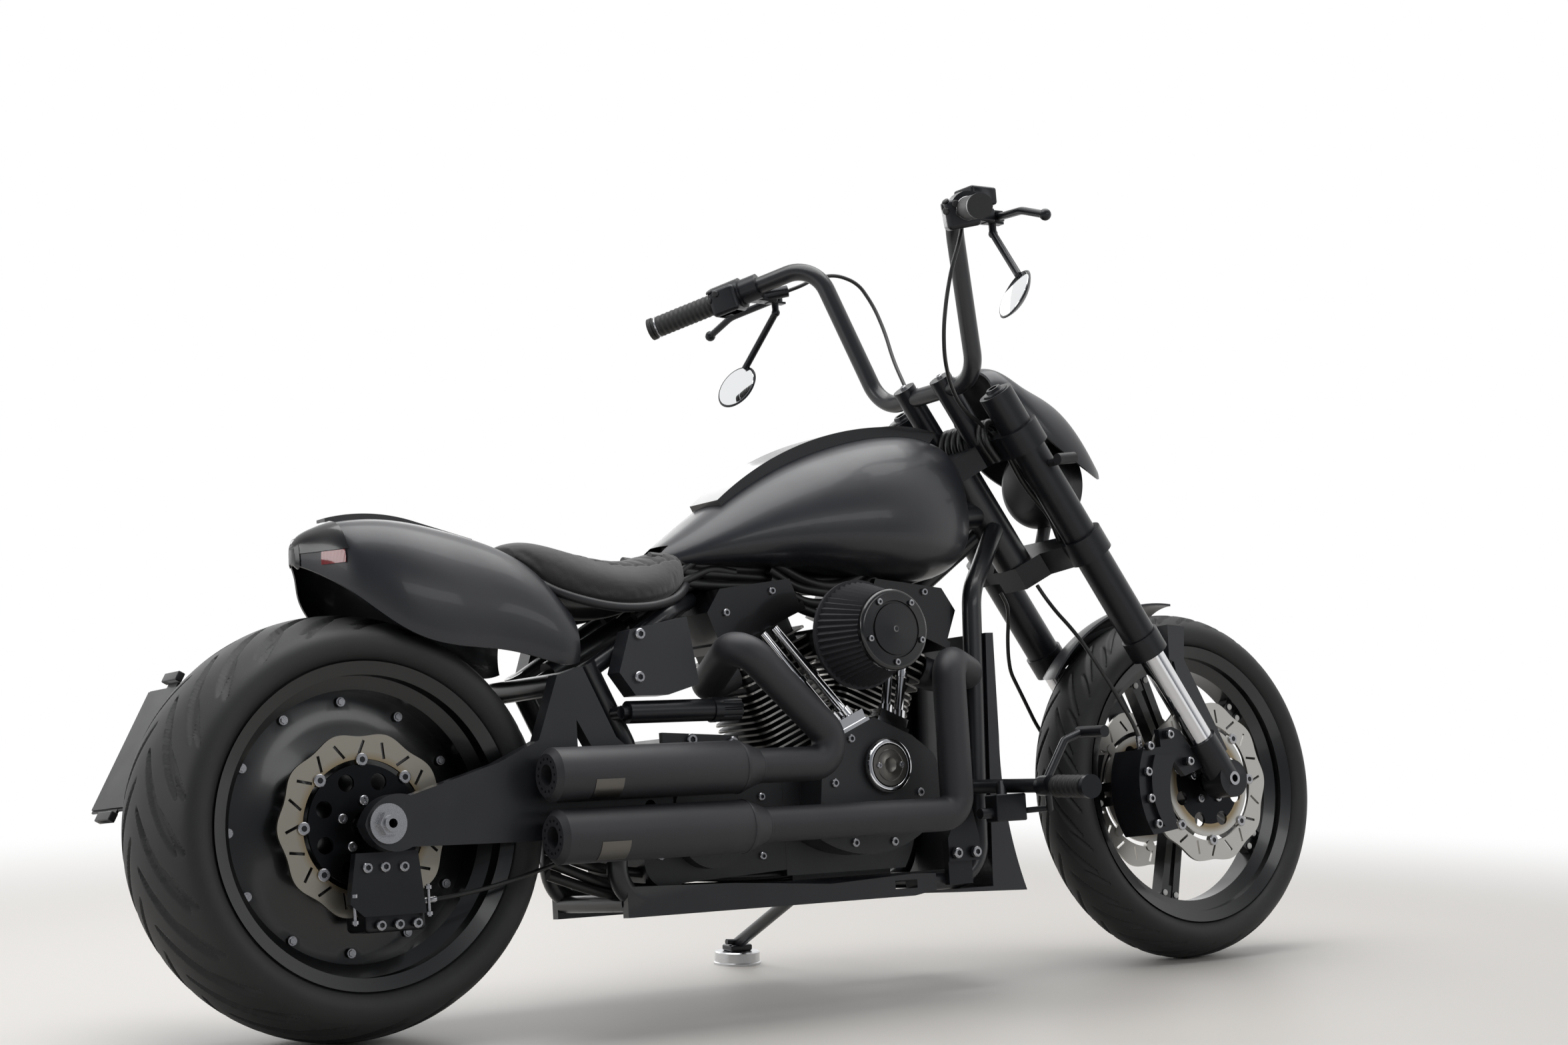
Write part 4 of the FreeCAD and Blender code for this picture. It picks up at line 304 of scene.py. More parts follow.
def leather():
    """Suede-like leather: pebbles of about a millimetre and a soft sheen."""
    material, tree, place = new_material("black_suede_leather")
    cells = add(tree, "TexVoronoi", {"Scale": per_metre(PEBBLE_MM)}, {"Vector": place})
    tint = blend(tree, noise(tree, place, 40, 4.0), linear("#171416"), linear("#211d1e"))
    return principled(material, {"Roughness": 0.78, "Sheen Weight": 0.35, "Sheen Roughness": 0.5},
                      {"Base Color": tint, "Normal": bump(tree, (cells, "Distance"), 0.5, 0.0003)})


def clear_plastic(name, colour, roughness):
    """A deep-coloured lens with fine ribs behind its polished face."""
    material, tree, place = new_material(name)
    ribs = add(tree, "TexWave", {"Scale": per_metre(RIB_MM), "Distortion": 0.4}, {"Vector": place},
               bands_direction="Y")
    return principled(material, {"Base Color": linear(colour), "Roughness": roughness, "Coat Weight": 1.0},
                      {"Normal": bump(tree, (ribs, "Fac"), 0.3, 0.0005)})


LEATHER = leather()
RED_LENS = clear_plastic("red_lens", "#7a0d10", 0.08)
LAMP_GLASS = clear_plastic("smoked_lamp_glass", "#24262a", 0.05)

# %% [markdown]
# ## Give every CAD node its finish
# A CAD mesh comes as loose triangles. Welding them and splitting only at sharp edges lets the curved
# faces shade smoothly, and neither changes the mesh itself, as both are modifiers.

# %% Finish of each node
FINISHES = {
    SATIN_PAINT: "fuel_tank rear_fender side_covers chin_spoiler front_fender headlight_cowl",
    GLOSS_PAINT: "tank_console tail_cap rocker_covers filter_cover",
    FRAME_PAINT: "frame swingarm rear_shock stand_leg handlebar",
    RIM_PAINT: "front_rim rear_rim",
    POWDER_COAT: "engine_case gearbox_case cam_cover primary_cover intake",
    HEAT_COAT: "exhaust_pipes mufflers",
    ANODISED: "rear_caliper front_calipers triple_clamps fork_outer_tubes fork_feet hand_controls levers "
              "mirrors foot_controls rear_pulley preload_adjuster",
    MOULDED: "headlight indicators plate_holder",
    CAST: "cylinders",
    CHROME: "pushrod_tubes fork_inner_tubes",
    ZINC: "rear_axle front_axle",
    TURNED: "stand_puck",
    REAR_DISC: "rear_disc",
    FRONT_DISC: "front_discs",
    TYRE_RUBBER: "front_tyre rear_tyre",
    BELT_RUBBER: "drive_belt",
    GRIP_RUBBER: "grips",
    FILTER_CLOTH: "air_filter",
    LEATHER: "seat",
    RED_LENS: "tail_lights",
    HOSE_RUBBER: "front_brake_hoses clutch_cable bar_brake_hose rear_brake_hose",
}
WELD_M = 0.00002
SPLIT_ANGLE = math.radians(32)


def smooth_shading(obj):
    """Smooth faces, welded and then split again at edges sharper than the split angle."""
    obj.data.polygons.foreach_set("use_smooth", np.ones(len(obj.data.polygons), bool))
    obj.modifiers.new("weld", "WELD").merge_threshold = WELD_M
    obj.modifiers.new("split", "EDGE_SPLIT").split_angle = SPLIT_ANGLE


for material, names in FINISHES.items():
    for name in names.split():
        NODES[name].data.materials.clear()
        NODES[name].data.materials.append(material)
        smooth_shading(NODES[name])
print("without a finish", sorted(set(NODES) - set(" ".join(FINISHES.values()).split())))

# %% [markdown]
# ## From arrays to meshes
# Screws, rings, tread and bands are all surfaces over two parameters. A grid of points is worked out as
# one array, and one function turns a stack of such grids into a mesh, so a hundred screws cost no more
# code than one. What turns with the fork is drawn in the fork's own frame.

# %% Grids of points as pieces
import bmesh
from mathutils.bvhtree import BVHTree

DRAWN_IN = {"chassis": BIKE, "rear_wheel": BIKE, "steering": FORK, "front_wheel": FORK}
MERGE_M = 0.000002
SIDES = (1, -1)


def put(matrix, points):
    """Points turned and moved by a 4 by 4 matrix."""
    turn = np.array(matrix)
    return points @ turn[:3, :3].T + turn[:3, 3]


def places_of(mesh, what="co"):
    """The mesh's vertices, or their normals, as one array."""
    values = np.empty(len(mesh.vertices) * 3)
    mesh.vertices.foreach_get(what, values)
    return values.reshape(-1, 3)


def move_to(mesh, places):
    """Gives the mesh's vertices new places."""
    mesh.vertices.foreach_set("co", places.ravel())


def piece(name, grids, body, material):
    """One object from grids shaped (count, rows, columns, 3): each cell of a grid becomes a face.

    Points are in millimetres, in the body's drawing frame. Columns join up round the piece, doubled
    points are merged, as at a pole, and faces are turned outwards.
    """
    grids = np.asarray(grids, float)
    grids = grids.reshape((-1,) + grids.shape[-3:])
    ids = np.arange(grids[..., 0].size).reshape(grids.shape[:3])
    ends = np.roll(ids, -1, axis=2)
    faces = np.stack([ids[:, :-1], ends[:, :-1], ends[:, 1:], ids[:, 1:]], axis=-1)
    mesh = bpy.data.meshes.new(name)
    mesh.from_pydata(put(DRAWN_IN[body], grids.reshape(-1, 3)).tolist(), [], faces.reshape(-1, 4).tolist())
    shape = bmesh.new()
    shape.from_mesh(mesh)
    bmesh.ops.remove_doubles(shape, verts=shape.verts, dist=MERGE_M)
    bmesh.ops.recalc_face_normals(shape, faces=shape.faces)
    shape.to_mesh(mesh)
    shape.free()
    mesh.materials.append(material)
    made = in_scene(name, mesh)
    smooth_shading(made)
    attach(made, body)
    print(name, len(mesh.polygons))
    return made


def turned(profile, count=24, six=()):
    """A profile of (radius, height) turned about Z, with the rings listed in six made hexagons.

    A point is (r cos t, r sin t, h). On a hexagon r is multiplied by cos 30 / cos(t mod 60 - 30).
    """
    profile = np.array(profile, float)
    t = np.arange(count) * 2 * np.pi / count
    r = np.repeat(profile[:, :1], count, axis=1)
    flat = np.cos(np.pi / 6) / np.cos(t % (np.pi / 3) - np.pi / 6)
    r = np.where(np.isin(np.arange(len(profile)), six)[:, None], r * flat, r)
    return np.stack([r * np.cos(t), r * np.sin(t), np.repeat(profile[:, 1:], count, axis=1)], axis=-1)


def stand_on(shape, points, directions):
    """Copies of a shape on points with its Z along directions: p + x a + y b + z c for each."""
    points = np.atleast_2d(np.array(points, float))
    c = np.array(np.broadcast_to(np.array(directions, float), points.shape))
    c /= np.linalg.norm(c, axis=1, keepdims=True)
    a = np.cross(np.where(np.abs(c[:, :1]) > 0.7, (0.0, 0.0, 1.0), (1.0, 0.0, 0.0)), c)
    a /= np.linalg.norm(a, axis=1, keepdims=True)
    basis = np.stack([a, np.cross(c, a), c], axis=1)
    return np.einsum("rck,nkj->nrcj", shape, basis) + points[:, None, None]


def round_wheel(centre, radius, count, y, first=0.0):
    """Points on a circle about a wheel's axle, at a distance out along it."""
    t = math.radians(first) + np.arange(count) * 2 * np.pi / count
    x, z = centre[0] + radius * np.cos(t), centre[1] + radius * np.sin(t)
    return np.stack([x, np.full(count, y), z], axis=-1)


def through(points, count):
    """A smooth path through points: cubic pieces whose slopes are half the step between neighbours."""
    points = np.array(points, float)
    padded = np.concatenate([2 * points[:1] - points[1:2], points, 2 * points[-1:] - points[-2:-1]])
    place = np.linspace(0, len(points) - 1.0001, count)
    i, s = place.astype(int), (place % 1)[:, None]
    a, b, c, d = padded[i], padded[i + 1], padded[i + 2], padded[i + 3]
    return b + 0.5 * s * (c - a + s * (2 * a - 5 * b + 4 * c - d + s * (3 * (b - c) + d - a)))


def tube(path, radius, sides=12):
    """A closed rod: circles of the radius square to the path, with its ends drawn in to points."""
    path = np.array(path, float)
    along = np.gradient(path, axis=0)
    along /= np.linalg.norm(along, axis=1, keepdims=True)
    a = np.cross(along, (0.13, 0.21, 0.97))
    a /= np.linalg.norm(a, axis=1, keepdims=True)
    b = np.cross(along, a)
    t = np.arange(sides) * 2 * np.pi / sides
    rings = path[:, None] + radius * (np.cos(t)[:, None] * a[:, None] + np.sin(t)[:, None] * b[:, None])
    tips = [np.broadcast_to(path[end], (1, sides, 3)) for end in (0, -1)]
    return np.concatenate([tips[0], rings, tips[1]])


def circle(t):
    """Points (cos t, sin t)."""
    return np.stack([np.cos(t), np.sin(t)], axis=-1)


REAR_AXLE = (0.0, REAR_TYRE_R)
FRONT_AXLE = (WHEELBASE, FRONT_TYRE_R)
RIGHT, LEFT = (0.0, -1.0, 0.0), (0.0, 1.0, 0.0)

# %% [markdown]
# ## Tyres with real tread
# A tyre's tread is cut or moulded some millimetres deep, and a broad one seen from behind shows it in
# its outline, so a bump texture wouldn't do. The outer surface is a grid round the wheel and across the
# tyre, and its radius drops inside every groove. A groove is a curve along the tread, repeated at equal
# steps: a point is in it where its distance to the nearest such curve is under half the groove's width.

# %% Tyre surfaces
TYRE_COLUMNS = 720
SIDE_ROWS = 14
SHOULDER_IN = 12.0
BEAD_IN, BEAD_WIDTH, BEAD_DEPTH = 6.3, 12.0, 11.7
WALL = 11.0
GROOVE_EDGE = 3.0


def arc_through(a, b, c, count):
    """Points on the circle through a, b and c: centre from equal distances, angle run through b."""
    a, b, c = (np.array(v, float) for v in (a, b, c))
    rows = 2 * np.array([b - a, c - a])
    centre = np.linalg.solve(rows, np.array([b @ b - a @ a, c @ c - a @ a]))
    angles = np.arctan2(*(np.array([a, b, c]) - centre).T[::-1])
    sweep = (angles[2] - angles[0]) % (2 * np.pi)
    if (angles[1] - angles[0]) % (2 * np.pi) > sweep:
        sweep -= 2 * np.pi
    t = angles[0] + np.linspace(0, 1, count) * sweep
    return centre + np.linalg.norm(a - centre) * circle(t)


def softened(points, passes=6):
    """Corners of a profile rounded by taking each inner point halfway to its neighbours' middle."""
    for _ in range(passes):
        points[1:-1] = 0.5 * points[1:-1] + 0.25 * (points[:-2] + points[2:])
    return points


def tyre_profile(radius, half, drop, lip_r, rim_half, crown_count):
    """(y, r) from the right bead over the crown to the left one: two side arcs and a crown arc."""
    shoulder, side_r, bead_y = half - SHOULDER_IN, (lip_r + radius - drop) / 2, rim_half - BEAD_IN
    right = arc_through((-bead_y, lip_r + 0.3), (-half, side_r), (-shoulder, radius - drop), SIDE_ROWS)
    crown = arc_through((-shoulder, radius - drop), (0, radius), (shoulder, radius - drop), crown_count)
    left = right[::-1] * (-1, 1)
    return softened(np.concatenate([right, crown[1:-1], left]))


def groove_depth(across, along, pitch, runs):
    """How deep the tread is cut at a point, over mirrored sets of curved grooves.

    Each run is (start, end, lead, bend, width, depth): at a distance s across, between start and end,
    the groove lies at lead ((s - start) / (end - start)) ** bend along the tread, and it narrows
    towards both ends like the square root of a sine. Its depth is reached over GROOVE_EDGE.
    """
    cut = np.zeros(np.broadcast(across, along).shape)
    side = np.abs(across)
    offset = np.where(across > 0, pitch / 2, 0.0)
    for start, end, lead, bend, width, depth in runs:
        share = np.clip((side - start) / (end - start), 0.001, 0.999)
        curve = lead * share ** bend
        slope = lead * bend * share ** (bend - 1) / (end - start)
        gap = np.abs((along - curve + offset + pitch / 2) % pitch - pitch / 2) / np.sqrt(1 + slope ** 2)
        half_width = 0.5 * width * np.sqrt(np.sin(np.pi * share))
        inside = (side > start) & (side < end)
        wall = np.clip((half_width - gap) / GROOVE_EDGE + 0.5, 0, 1)
        cut = np.maximum(cut, np.where(inside, depth * wall, 0))
    return cut


def tyre(node, centre, sizes, crown_count, pitches, runs, body):
    """The closed carcass: profile and inner wall turned about the axle, less the groove depth."""
    radius, half, drop, lip_r, rim_half = sizes
    outer = tyre_profile(radius, half, drop, lip_r, rim_half, crown_count)
    inner = (outer[::8] * (0.9, 1) - (0, WALL))[::-1]
    bead_y, bead_r = rim_half - BEAD_IN, lip_r - BEAD_DEPTH
    bead = np.array([(bead_y, bead_r), (bead_y - BEAD_WIDTH, bead_r)])
    section = np.concatenate([outer, bead, inner[1:-1], bead[::-1] * (-1, 1), outer[:1]])
    t = np.arange(TYRE_COLUMNS) * 2 * np.pi / TYRE_COLUMNS
    run = np.concatenate([[0], np.cumsum(np.linalg.norm(np.diff(outer, axis=0), axis=1))])
    arc = np.zeros((len(section), 1))
    arc[:len(outer), 0] = run - run[-1] / 2
    cut = groove_depth(arc, (t * radius)[None], 2 * np.pi * radius / pitches, runs)
    cut[len(outer):] = 0
    r = section[:, 1:] - cut
    across = np.broadcast_to(section[:, :1], r.shape)
    grid = np.stack([centre[0] + r * np.cos(t), across, centre[1] + r * np.sin(t)], axis=-1)
    made = piece(node + "_tread", grid, body, TYRE_RUBBER)
    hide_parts(node)


tyre("rear_tyre", REAR_AXLE, (REAR_TYRE_R, 130.0, 30.0, 246.5, 118.0), 88, 23,
     ((8, 108, 165, 1.0, 14.0, 6.5), (66, 124, 78, 1.1, 10.0, 5.5)), "rear_wheel")
tyre("front_tyre", FRONT_AXLE, (FRONT_TYRE_R, 66.0, 21.0, 255.3, 53.0), 56, 26,
     ((5, 54, 90, 0.9, 8.0, 4.5), (30, 62, 46, 1.2, 6.0, 4.0)), "front_wheel")

# %% [markdown]
# ## Machined fin edges
# An air-cooled cylinder gives off its heat through fins. These are painted black, and then their outer
# edges are cut back to bright metal. A band 0.3 mm proud of each fin's edge shows that cut face: its
# path is a rectangle with round corners, carried up the cylinder's slant.

# %% Bright bands on the fins
CRANK = np.array([895.0, 0.0, 285.0])
SLANT = math.radians(22.5)
FIN_LONG = 156.0
FIN_SETS = (("barrel", 144.0 + 11.0 * np.arange(11), 150.0, 22.0),
            ("head", 269.0 + 15.0 * np.arange(5), 160.0, 14.0))
BAND = ((-1, -0.1), (0.3, -0.1), (0.3, 3.3), (-1, 3.3), (-1, -0.1))
MIDDLE_GAP = 0.4


def round_corners(long, wide, corner, count=8):
    """Quarter circles at the corners of a rectangle: centre + corner (cos t, sin t)."""
    t = np.arange(4)[:, None] * np.pi / 2 + np.linspace(0, np.pi / 2, count)
    centres = np.array([(1, 1), (-1, 1), (-1, -1), (1, -1)]) * (long / 2 - corner, wide / 2 - corner)
    return (centres[:, None] + corner * circle(t)).reshape(-1, 2)


def vee(side, up, across, y):
    """A point of a cylinder by its distance up the slant, ahead across it and sideways."""
    return np.stack([CRANK[0] + side * math.sin(SLANT) * up + math.cos(SLANT) * across, y + 0 * up,
                     CRANK[2] + math.cos(SLANT) * up - side * math.sin(SLANT) * across], axis=-1)


def fin_bands(side, levels, wide, corner):
    """Closed bands round the fins, each edge out and up by BAND, and cut where the cylinders meet."""
    bands = []
    for out, rise in BAND:
        loop = round_corners(FIN_LONG + 2 * out, wide + 2 * out, corner + out)
        y = np.broadcast_to(loop[:, 1], (len(levels), len(loop)))
        bands.append(vee(side, levels[:, None] + rise, loop[:, 0], y))
    grid = np.stack(bands, axis=1)
    keep_off = np.maximum if side > 0 else np.minimum
    grid[..., 0] = keep_off(grid[..., 0], CRANK[0] + side * MIDDLE_GAP)
    return grid


for side, end in ((-1, "rear"), (1, "front")):
    for part, levels, wide, corner in FIN_SETS:
        piece(end + "_" + part + "_fin_edges", fin_bands(side, levels, wide, corner), "chassis", FIN_METAL)

# %% [markdown]
# ## Screws on real surfaces
# On a black machine the bright socket screws are what the eye counts. Their places in a view are known,
# so each is dropped onto the CAD surface along a ray, like a plumb line, and stands square to the face
# that it meets.

# %% Screws dropped onto the nodes
IN_RIGHT, IN_LEFT, DOWN = (0, 1, 0), (0, -1, 0), (0, 0, -1)
OUTSIDE = 700.0
SURFACES = {}
# Dark discs of painted shade for the screws' sockets, gathered per body.
SOCKET_SHADES = {"chassis": [], "steering": []}


def surface_of(node):
    """The node's faces as a tree that rays can be cast at, built once."""
    if node not in SURFACES:
        mesh = NODES[node].data
        faces = [face.vertices[:] for face in mesh.polygons]
        SURFACES[node] = BVHTree.FromPolygons(places_of(mesh).tolist(), faces)
    return SURFACES[node]


def land(nodes, body, starts, direction):
    """Where rays first meet any of the nodes, and the way the surface faces there, in millimetres."""
    matrix = DRAWN_IN[body]
    back, ray = matrix.inverted(), (matrix.to_3x3() @ Vector(direction)).normalized()
    places, facings = [], []
    for start in starts:
        hits = [surface_of(node).ray_cast(matrix @ Vector(start), ray) for node in nodes.split()]
        hits = [hit for hit in hits if hit[0] is not None]
        if hits:
            place, facing = min(hits, key=lambda hit: hit[3])[:2]
            places.append(back @ place)
            facings.append((back.to_3x3() @ facing).normalized())
    print(nodes, "met by", len(places), "of", len(starts))
    return np.array(places), np.array(facings)


def socket_head(radius, height):
    """A cap screw: a chamfered head with a hexagonal socket a little over half as wide."""
    socket = 0.55 * radius
    return turned([(0, 0.4 * height), (socket, 0.4 * height), (socket, height), (0.85 * radius, height),
                   (radius, 0.8 * height), (radius, -0.5), (0, -0.5)], six=(1, 2))


def hex_head(radius, height):
    """A hexagon head with a washer under it."""
    return turned([(0, height), (0.8 * radius, height), (0.86 * radius, height - 0.8), (0.86 * radius, 1.4),
                   (1.1 * radius, 1.4), (1.1 * radius, -0.5), (0, -0.5)], six=(1, 2, 3))


def screws(name, radius, height, nodes, body, starts, direction):
    """Socket screws where rays meet the nodes; each socket's dark disc of painted shade goes to one piece."""
    places, facings = land(nodes, body, starts, direction)
    floor, top, edge = 0.3 * height, 0.62 * height, 0.5 * radius
    # The dark disc inside each socket is painted shade for the socket's hollow.
    shade = turned([(0, top), (edge, top), (edge, floor), (0, floor)], 12)
    SOCKET_SHADES[body].append(stand_on(shade, places, facings))
    piece(name, stand_on(socket_head(radius, height), places, facings), body, ZINC)


COVER_TURN = np.radians(20 + 72 * np.arange(5))
COVER_RING = ((871, 594) + 54 * circle(COVER_TURN) * (1, -1)).tolist()
ROCKERS = ((675, 642), (768, 678), (1085, 675))
CALIPERS = ((1574, 405), (1618, 355), (1528, 246), (1516, 292), (1515, 340), (1526, 386))
for *screw, direction, places in (
        ("cam_cover_screws", 7, 5, "cam_cover", "chassis", IN_RIGHT,
         ((864, 424), (826, 352), (1000, 330), (860, 252), (940, 250), (820, 276))),
        ("gearbox_screws", 6.5, 5, "gearbox_case", "chassis", IN_RIGHT,
         ((720, 337), (742, 388), (716, 240), (520, 392), (520, 250), (608, 300))),
        ("strut_bolts", 9.5, 7, "gearbox_case", "chassis", IN_RIGHT, ((559, 433), (637, 426))),
        ("rocker_screws_right", 6.5, 5, "rocker_covers", "chassis", IN_RIGHT, ROCKERS),
        ("rocker_screws_left", 6.5, 5, "rocker_covers", "chassis", IN_LEFT, ROCKERS),
        ("primary_screws", 6.5, 5, "primary_cover", "chassis", IN_LEFT,
         ((640, 410), (760, 402), (886, 378), (975, 320), (975, 260), (886, 226), (760, 224), (640, 224),
          (560, 318))),
        ("caliper_bolts_rear", 8, 6, "rear_caliper", "chassis", IN_RIGHT,
         ((-23, 262), (6, 262), (37, 261), (0, 176), (30, 176), (60, 176))),
        ("swingarm_bolts", 9, 7, "swingarm frame side_covers", "chassis", IN_RIGHT,
         ((451, 601), (446, 533))),
        ("foot_bracket_bolts", 9, 6, "foot_controls", "chassis", IN_RIGHT, ((1070, 224), (1110, 224))),
        ("filter_cover_screws", 5, 2.5, "filter_cover", "chassis", IN_RIGHT, COVER_RING),
        ("caliper_bolts_right", 8, 6, "front_calipers", "steering", IN_RIGHT, CALIPERS),
        ("caliper_bolts_left", 8, 6, "front_calipers", "steering", IN_LEFT, CALIPERS)):
    screws(*screw, [(x, -OUTSIDE * direction[1], z) for x, z in places], direction)
screws("riser_bolts", 6, 5, "handlebar triple_clamps", "steering",
       [(1193 + x, y, 1500) for x in (-13, 13) for y in (-51, 51)], DOWN)
# One piece per body holds the sockets' painted shade.
for body, shades in SOCKET_SHADES.items():
    piece(body + "_socket_painted_shades", np.concatenate(shades), body, ANODISED)

# %% [markdown]
# ## Wheel fastenings
# Floating discs hang on round bobbins: bright rings round a hole, filled with a disc of painted shade.
# Screws hold their carriers to the hubs. The cast front wheel carries a pale cap over each spoke's bolt.

# %% Bobbins, hub screws, flange bolts and spoke caps
BOBBIN_RING = turned([(4.6, -0.5), (4.6, 1.6), (8.6, 1.6), (9.8, 0.8), (9.8, -0.5), (4.6, -0.5)])
# A dark disc of painted shade in the hole of each bobbin.
BOBBIN_HOLE_SHADE = turned([(0, 0.5), (4.7, 0.5), (4.7, -0.5), (0, -0.5)], 16)
HUB_SCREW = socket_head(7.5, 5)
HUB_FACE = 0.98
for name, body, centre, radius, faces in (
        ("rear", "rear_wheel", REAR_AXLE, 99.0, ((-101.5, RIGHT),)),
        ("front", "front_wheel", FRONT_AXLE, 108.0, ((-87.5, RIGHT), (87.5, LEFT)))):
    piece(name + "_bobbin_rings", [stand_on(BOBBIN_RING, round_wheel(centre, radius, 8, y), facing)
                                   for y, facing in faces], body, ZINC)
    # The bobbins' holes, filled with painted shade.
    piece(name + "_bobbin_hole_shades", [stand_on(BOBBIN_HOLE_SHADE, round_wheel(centre, radius, 8, y), facing)
                                   for y, facing in faces], body, ANODISED)
    piece(name + "_hub_screws", [stand_on(HUB_SCREW, round_wheel(centre, 38.0, 5, y * HUB_FACE, 18), facing)
                                 for y, facing in faces], body, ZINC)
piece("flange_bolts", stand_on(hex_head(6.5, 4), round_wheel(REAR_AXLE, 190.5, 12, -35.0), RIGHT),
      "rear_wheel", ZINC)

SPOKES = np.radians(111.5 + 72 * np.arange(5))
SPOKE_OUT = np.stack([np.cos(SPOKES), 0 * SPOKES, np.sin(SPOKES)], axis=-1)
SPOKE_SIDE = np.stack([-np.sin(SPOKES), 0 * SPOKES, np.cos(SPOKES)], axis=-1)
CAP_OUT, CAP_ASIDE, CAP_Y = 206.3, 14, 15
CAP_PLACES = np.concatenate([np.array([WHEELBASE, 0, FRONT_TYRE_R]) + CAP_OUT * SPOKE_OUT
                             + side * CAP_ASIDE * SPOKE_SIDE for side in (-1, 1)])
SPOKE_CAP = turned([(0, 2.2), (3.0, 1.9), (5.2, 0.9), (5.9, -0.2), (0, -0.2)])
piece("spoke_caps", [stand_on(SPOKE_CAP, CAP_PLACES + (0, y, 0), (0, y, 0)) for y in (-CAP_Y, CAP_Y)],
      "front_wheel", WHITE_CAP)

# %% [markdown]
# ## Seams, collars and glasses
# Small turned pieces finish the pipes, mirrors, grips and pegs: a seam bead where the silencer's cone is
# welded on, rings on the timing cover, silvered glass in each mirror, a lens, and soft ribs where a hand
# or a boot rests.

# %% Turned trim
SEAM = ((-0.5, -2.4), (0.9, -1.2), (0.9, 1.2), (-0.5, 2.4))
AHEAD = (1, 0, 0)
SILENCERS = ((-224.0, 384.0), (-234.0, 290.0))
piece("silencer_seams", [stand_on(turned([(radius + out, up) for out, up in SEAM], 48), (x, y, z), AHEAD)
                         for x, radius in ((588.5, 42.0), (627.0, 28.0)) for y, z in SILENCERS],
      "chassis", HEAT_COAT)

TIMING = (932.0, -167.0, 377.0)
TIMING_RING = [(35.5, -1), (36.5, 1.6), (40, 2.4), (43.5, 1.2), (44.5, -1), (35.5, -1)]
TIMING_PLATE = [(0, 0.9), (11, 0.9), (12, 1.5), (13, 0.9), (25, 0.9), (26, 1.6), (27, 0.9), (34.5, 0.8),
                (34.5, -1), (0, -1)]
piece("timing_ring", stand_on(turned(TIMING_RING, 64), TIMING, RIGHT), "chassis", CHROME)
piece("timing_plate", stand_on(turned(TIMING_PLATE, 64), TIMING, RIGHT), "chassis", SATIN_METAL)
piece("timing_screws", stand_on(socket_head(5, 3.5), [(909, -167.5, 377), (955, -167.5, 377)], RIGHT),
      "chassis", ZINC)

FORK_TOP, FORK_ASIDE = 846.0, 130.0
HEAD_AHEAD = Vector((math.cos(RAKE), 0.0, math.sin(RAKE)))


def head_point(distance, ahead, y):
    """A point by its distance up the steering axis from the front axle, ahead of the fork and sideways."""
    return tuple(Vector((WHEELBASE, y, FRONT_TYRE_R)) + HEAD_UP * distance + HEAD_AHEAD * ahead)


FORK_CAP = turned([(0, 2), (8, 2), (9, 9), (14, 9), (15, 4), (22, 3), (23.4, 1), (23.4, -12), (0, -12)], 48,
                  six=(2, 3))
CAPS_AT = [head_point(FORK_TOP, 0, side * FORK_ASIDE) for side in SIDES]
piece("fork_caps", stand_on(FORK_CAP, CAPS_AT, HEAD_UP), "steering", ANODISED)

MIRROR_MIDDLE = np.array([1063.5, 397.4, 1125.9])
MIRROR_FACING = np.array([-0.8653, -0.2036, 0.4581])
MIRROR_FACE = MIRROR_MIDDLE + 3.4 * MIRROR_FACING
GLASS = turned([(0, 1.6), (14, 1.4), (28, 0.9), (40.5, 0.0), (41.5, -0.8), (41.5, -2.0), (0, -2.0)], 64)
piece("mirror_glasses", [stand_on(GLASS, MIRROR_FACE * (1, side, 1), MIRROR_FACING * (1, side, 1))
                         for side in SIDES], "steering", MIRROR_GLASS)

LENS = turned([(0, 15), (20, 14), (42, 10), (60, 5), (70, 0), (73, -3), (73, -6), (0, -6)], 64)
piece("headlight_lens", stand_on(LENS, (1476.5, 0, 880), AHEAD), "steering", LAMP_GLASS)


def ribbed_sleeve(start, end, radius, rib, pitch):
    """A soft sleeve whose radius swells by rib (1 - cos) / 2 at each pitch along it."""
    start, end = np.array(start, float), np.array(end, float)
    long = np.linalg.norm(end - start)
    h = np.linspace(0, long, int(long / pitch * 8))
    r = radius + rib * (0.5 - 0.5 * np.cos(2 * np.pi * h / pitch))
    profile = [(radius - 3, h[0]), *zip(r, h), (radius - 3, h[-1])]
    return stand_on(turned(profile, 32), start, end - start)


GRIP_END, GRIP_INNER = np.array([939.0, 466.0, 1249.0]), np.array([1114.0, 198.0, 1322.0])
GRIP_WAY = (GRIP_INNER - GRIP_END) / np.linalg.norm(GRIP_INNER - GRIP_END)


def on_grip(distance, side):
    """A point on a grip's line, that far in from its outer end."""
    return (GRIP_END + distance * GRIP_WAY) * (1, side, 1)


piece("grip_ribs", [ribbed_sleeve(on_grip(4, side), on_grip(118, side), 19.1, 0.9, 9.5) for side in SIDES],
      "steering", GRIP_RUBBER)
piece("peg_ribs", [ribbed_sleeve((1176, side * 300, 325.8), (1169, side * 386, 321.4), 17.2, 2.0, 14.0)
                   for side in SIDES], "chassis", GRIP_RUBBER)
GRIP_RING = turned([(15, -0.5), (19.9, -0.5), (20.3, 0), (20.3, 1.6), (19.6, 2.4), (15, 2.4), (15, -0.5)], 48)
piece("grip_end_rings", [stand_on(GRIP_RING, on_grip(along, side), GRIP_WAY * (1, side, 1))
                         for side in SIDES for along in (1, 120)], "steering", ZINC)
BUTTON = turned([(0, 3.4), (4.5, 3.2), (6.2, 2.0), (6.6, -0.5), (0, -0.5)], 24)
BUTTON_STARTS = [tuple(on_grip(along, side) + (-200, 0, rise)) for side in SIDES
                 for along, rise in ((134, 6), (134, -9), (150, 8), (150, -8), (166, -1))]
piece("switch_buttons", stand_on(BUTTON, *land("hand_controls", "steering", BUTTON_STARTS, AHEAD)),
      "steering", MOULDED)

# %% [markdown]
# ## Hose ends
# A brake hose is crimped into a bright ferrule, which a hollow bolt holds to the caliper.

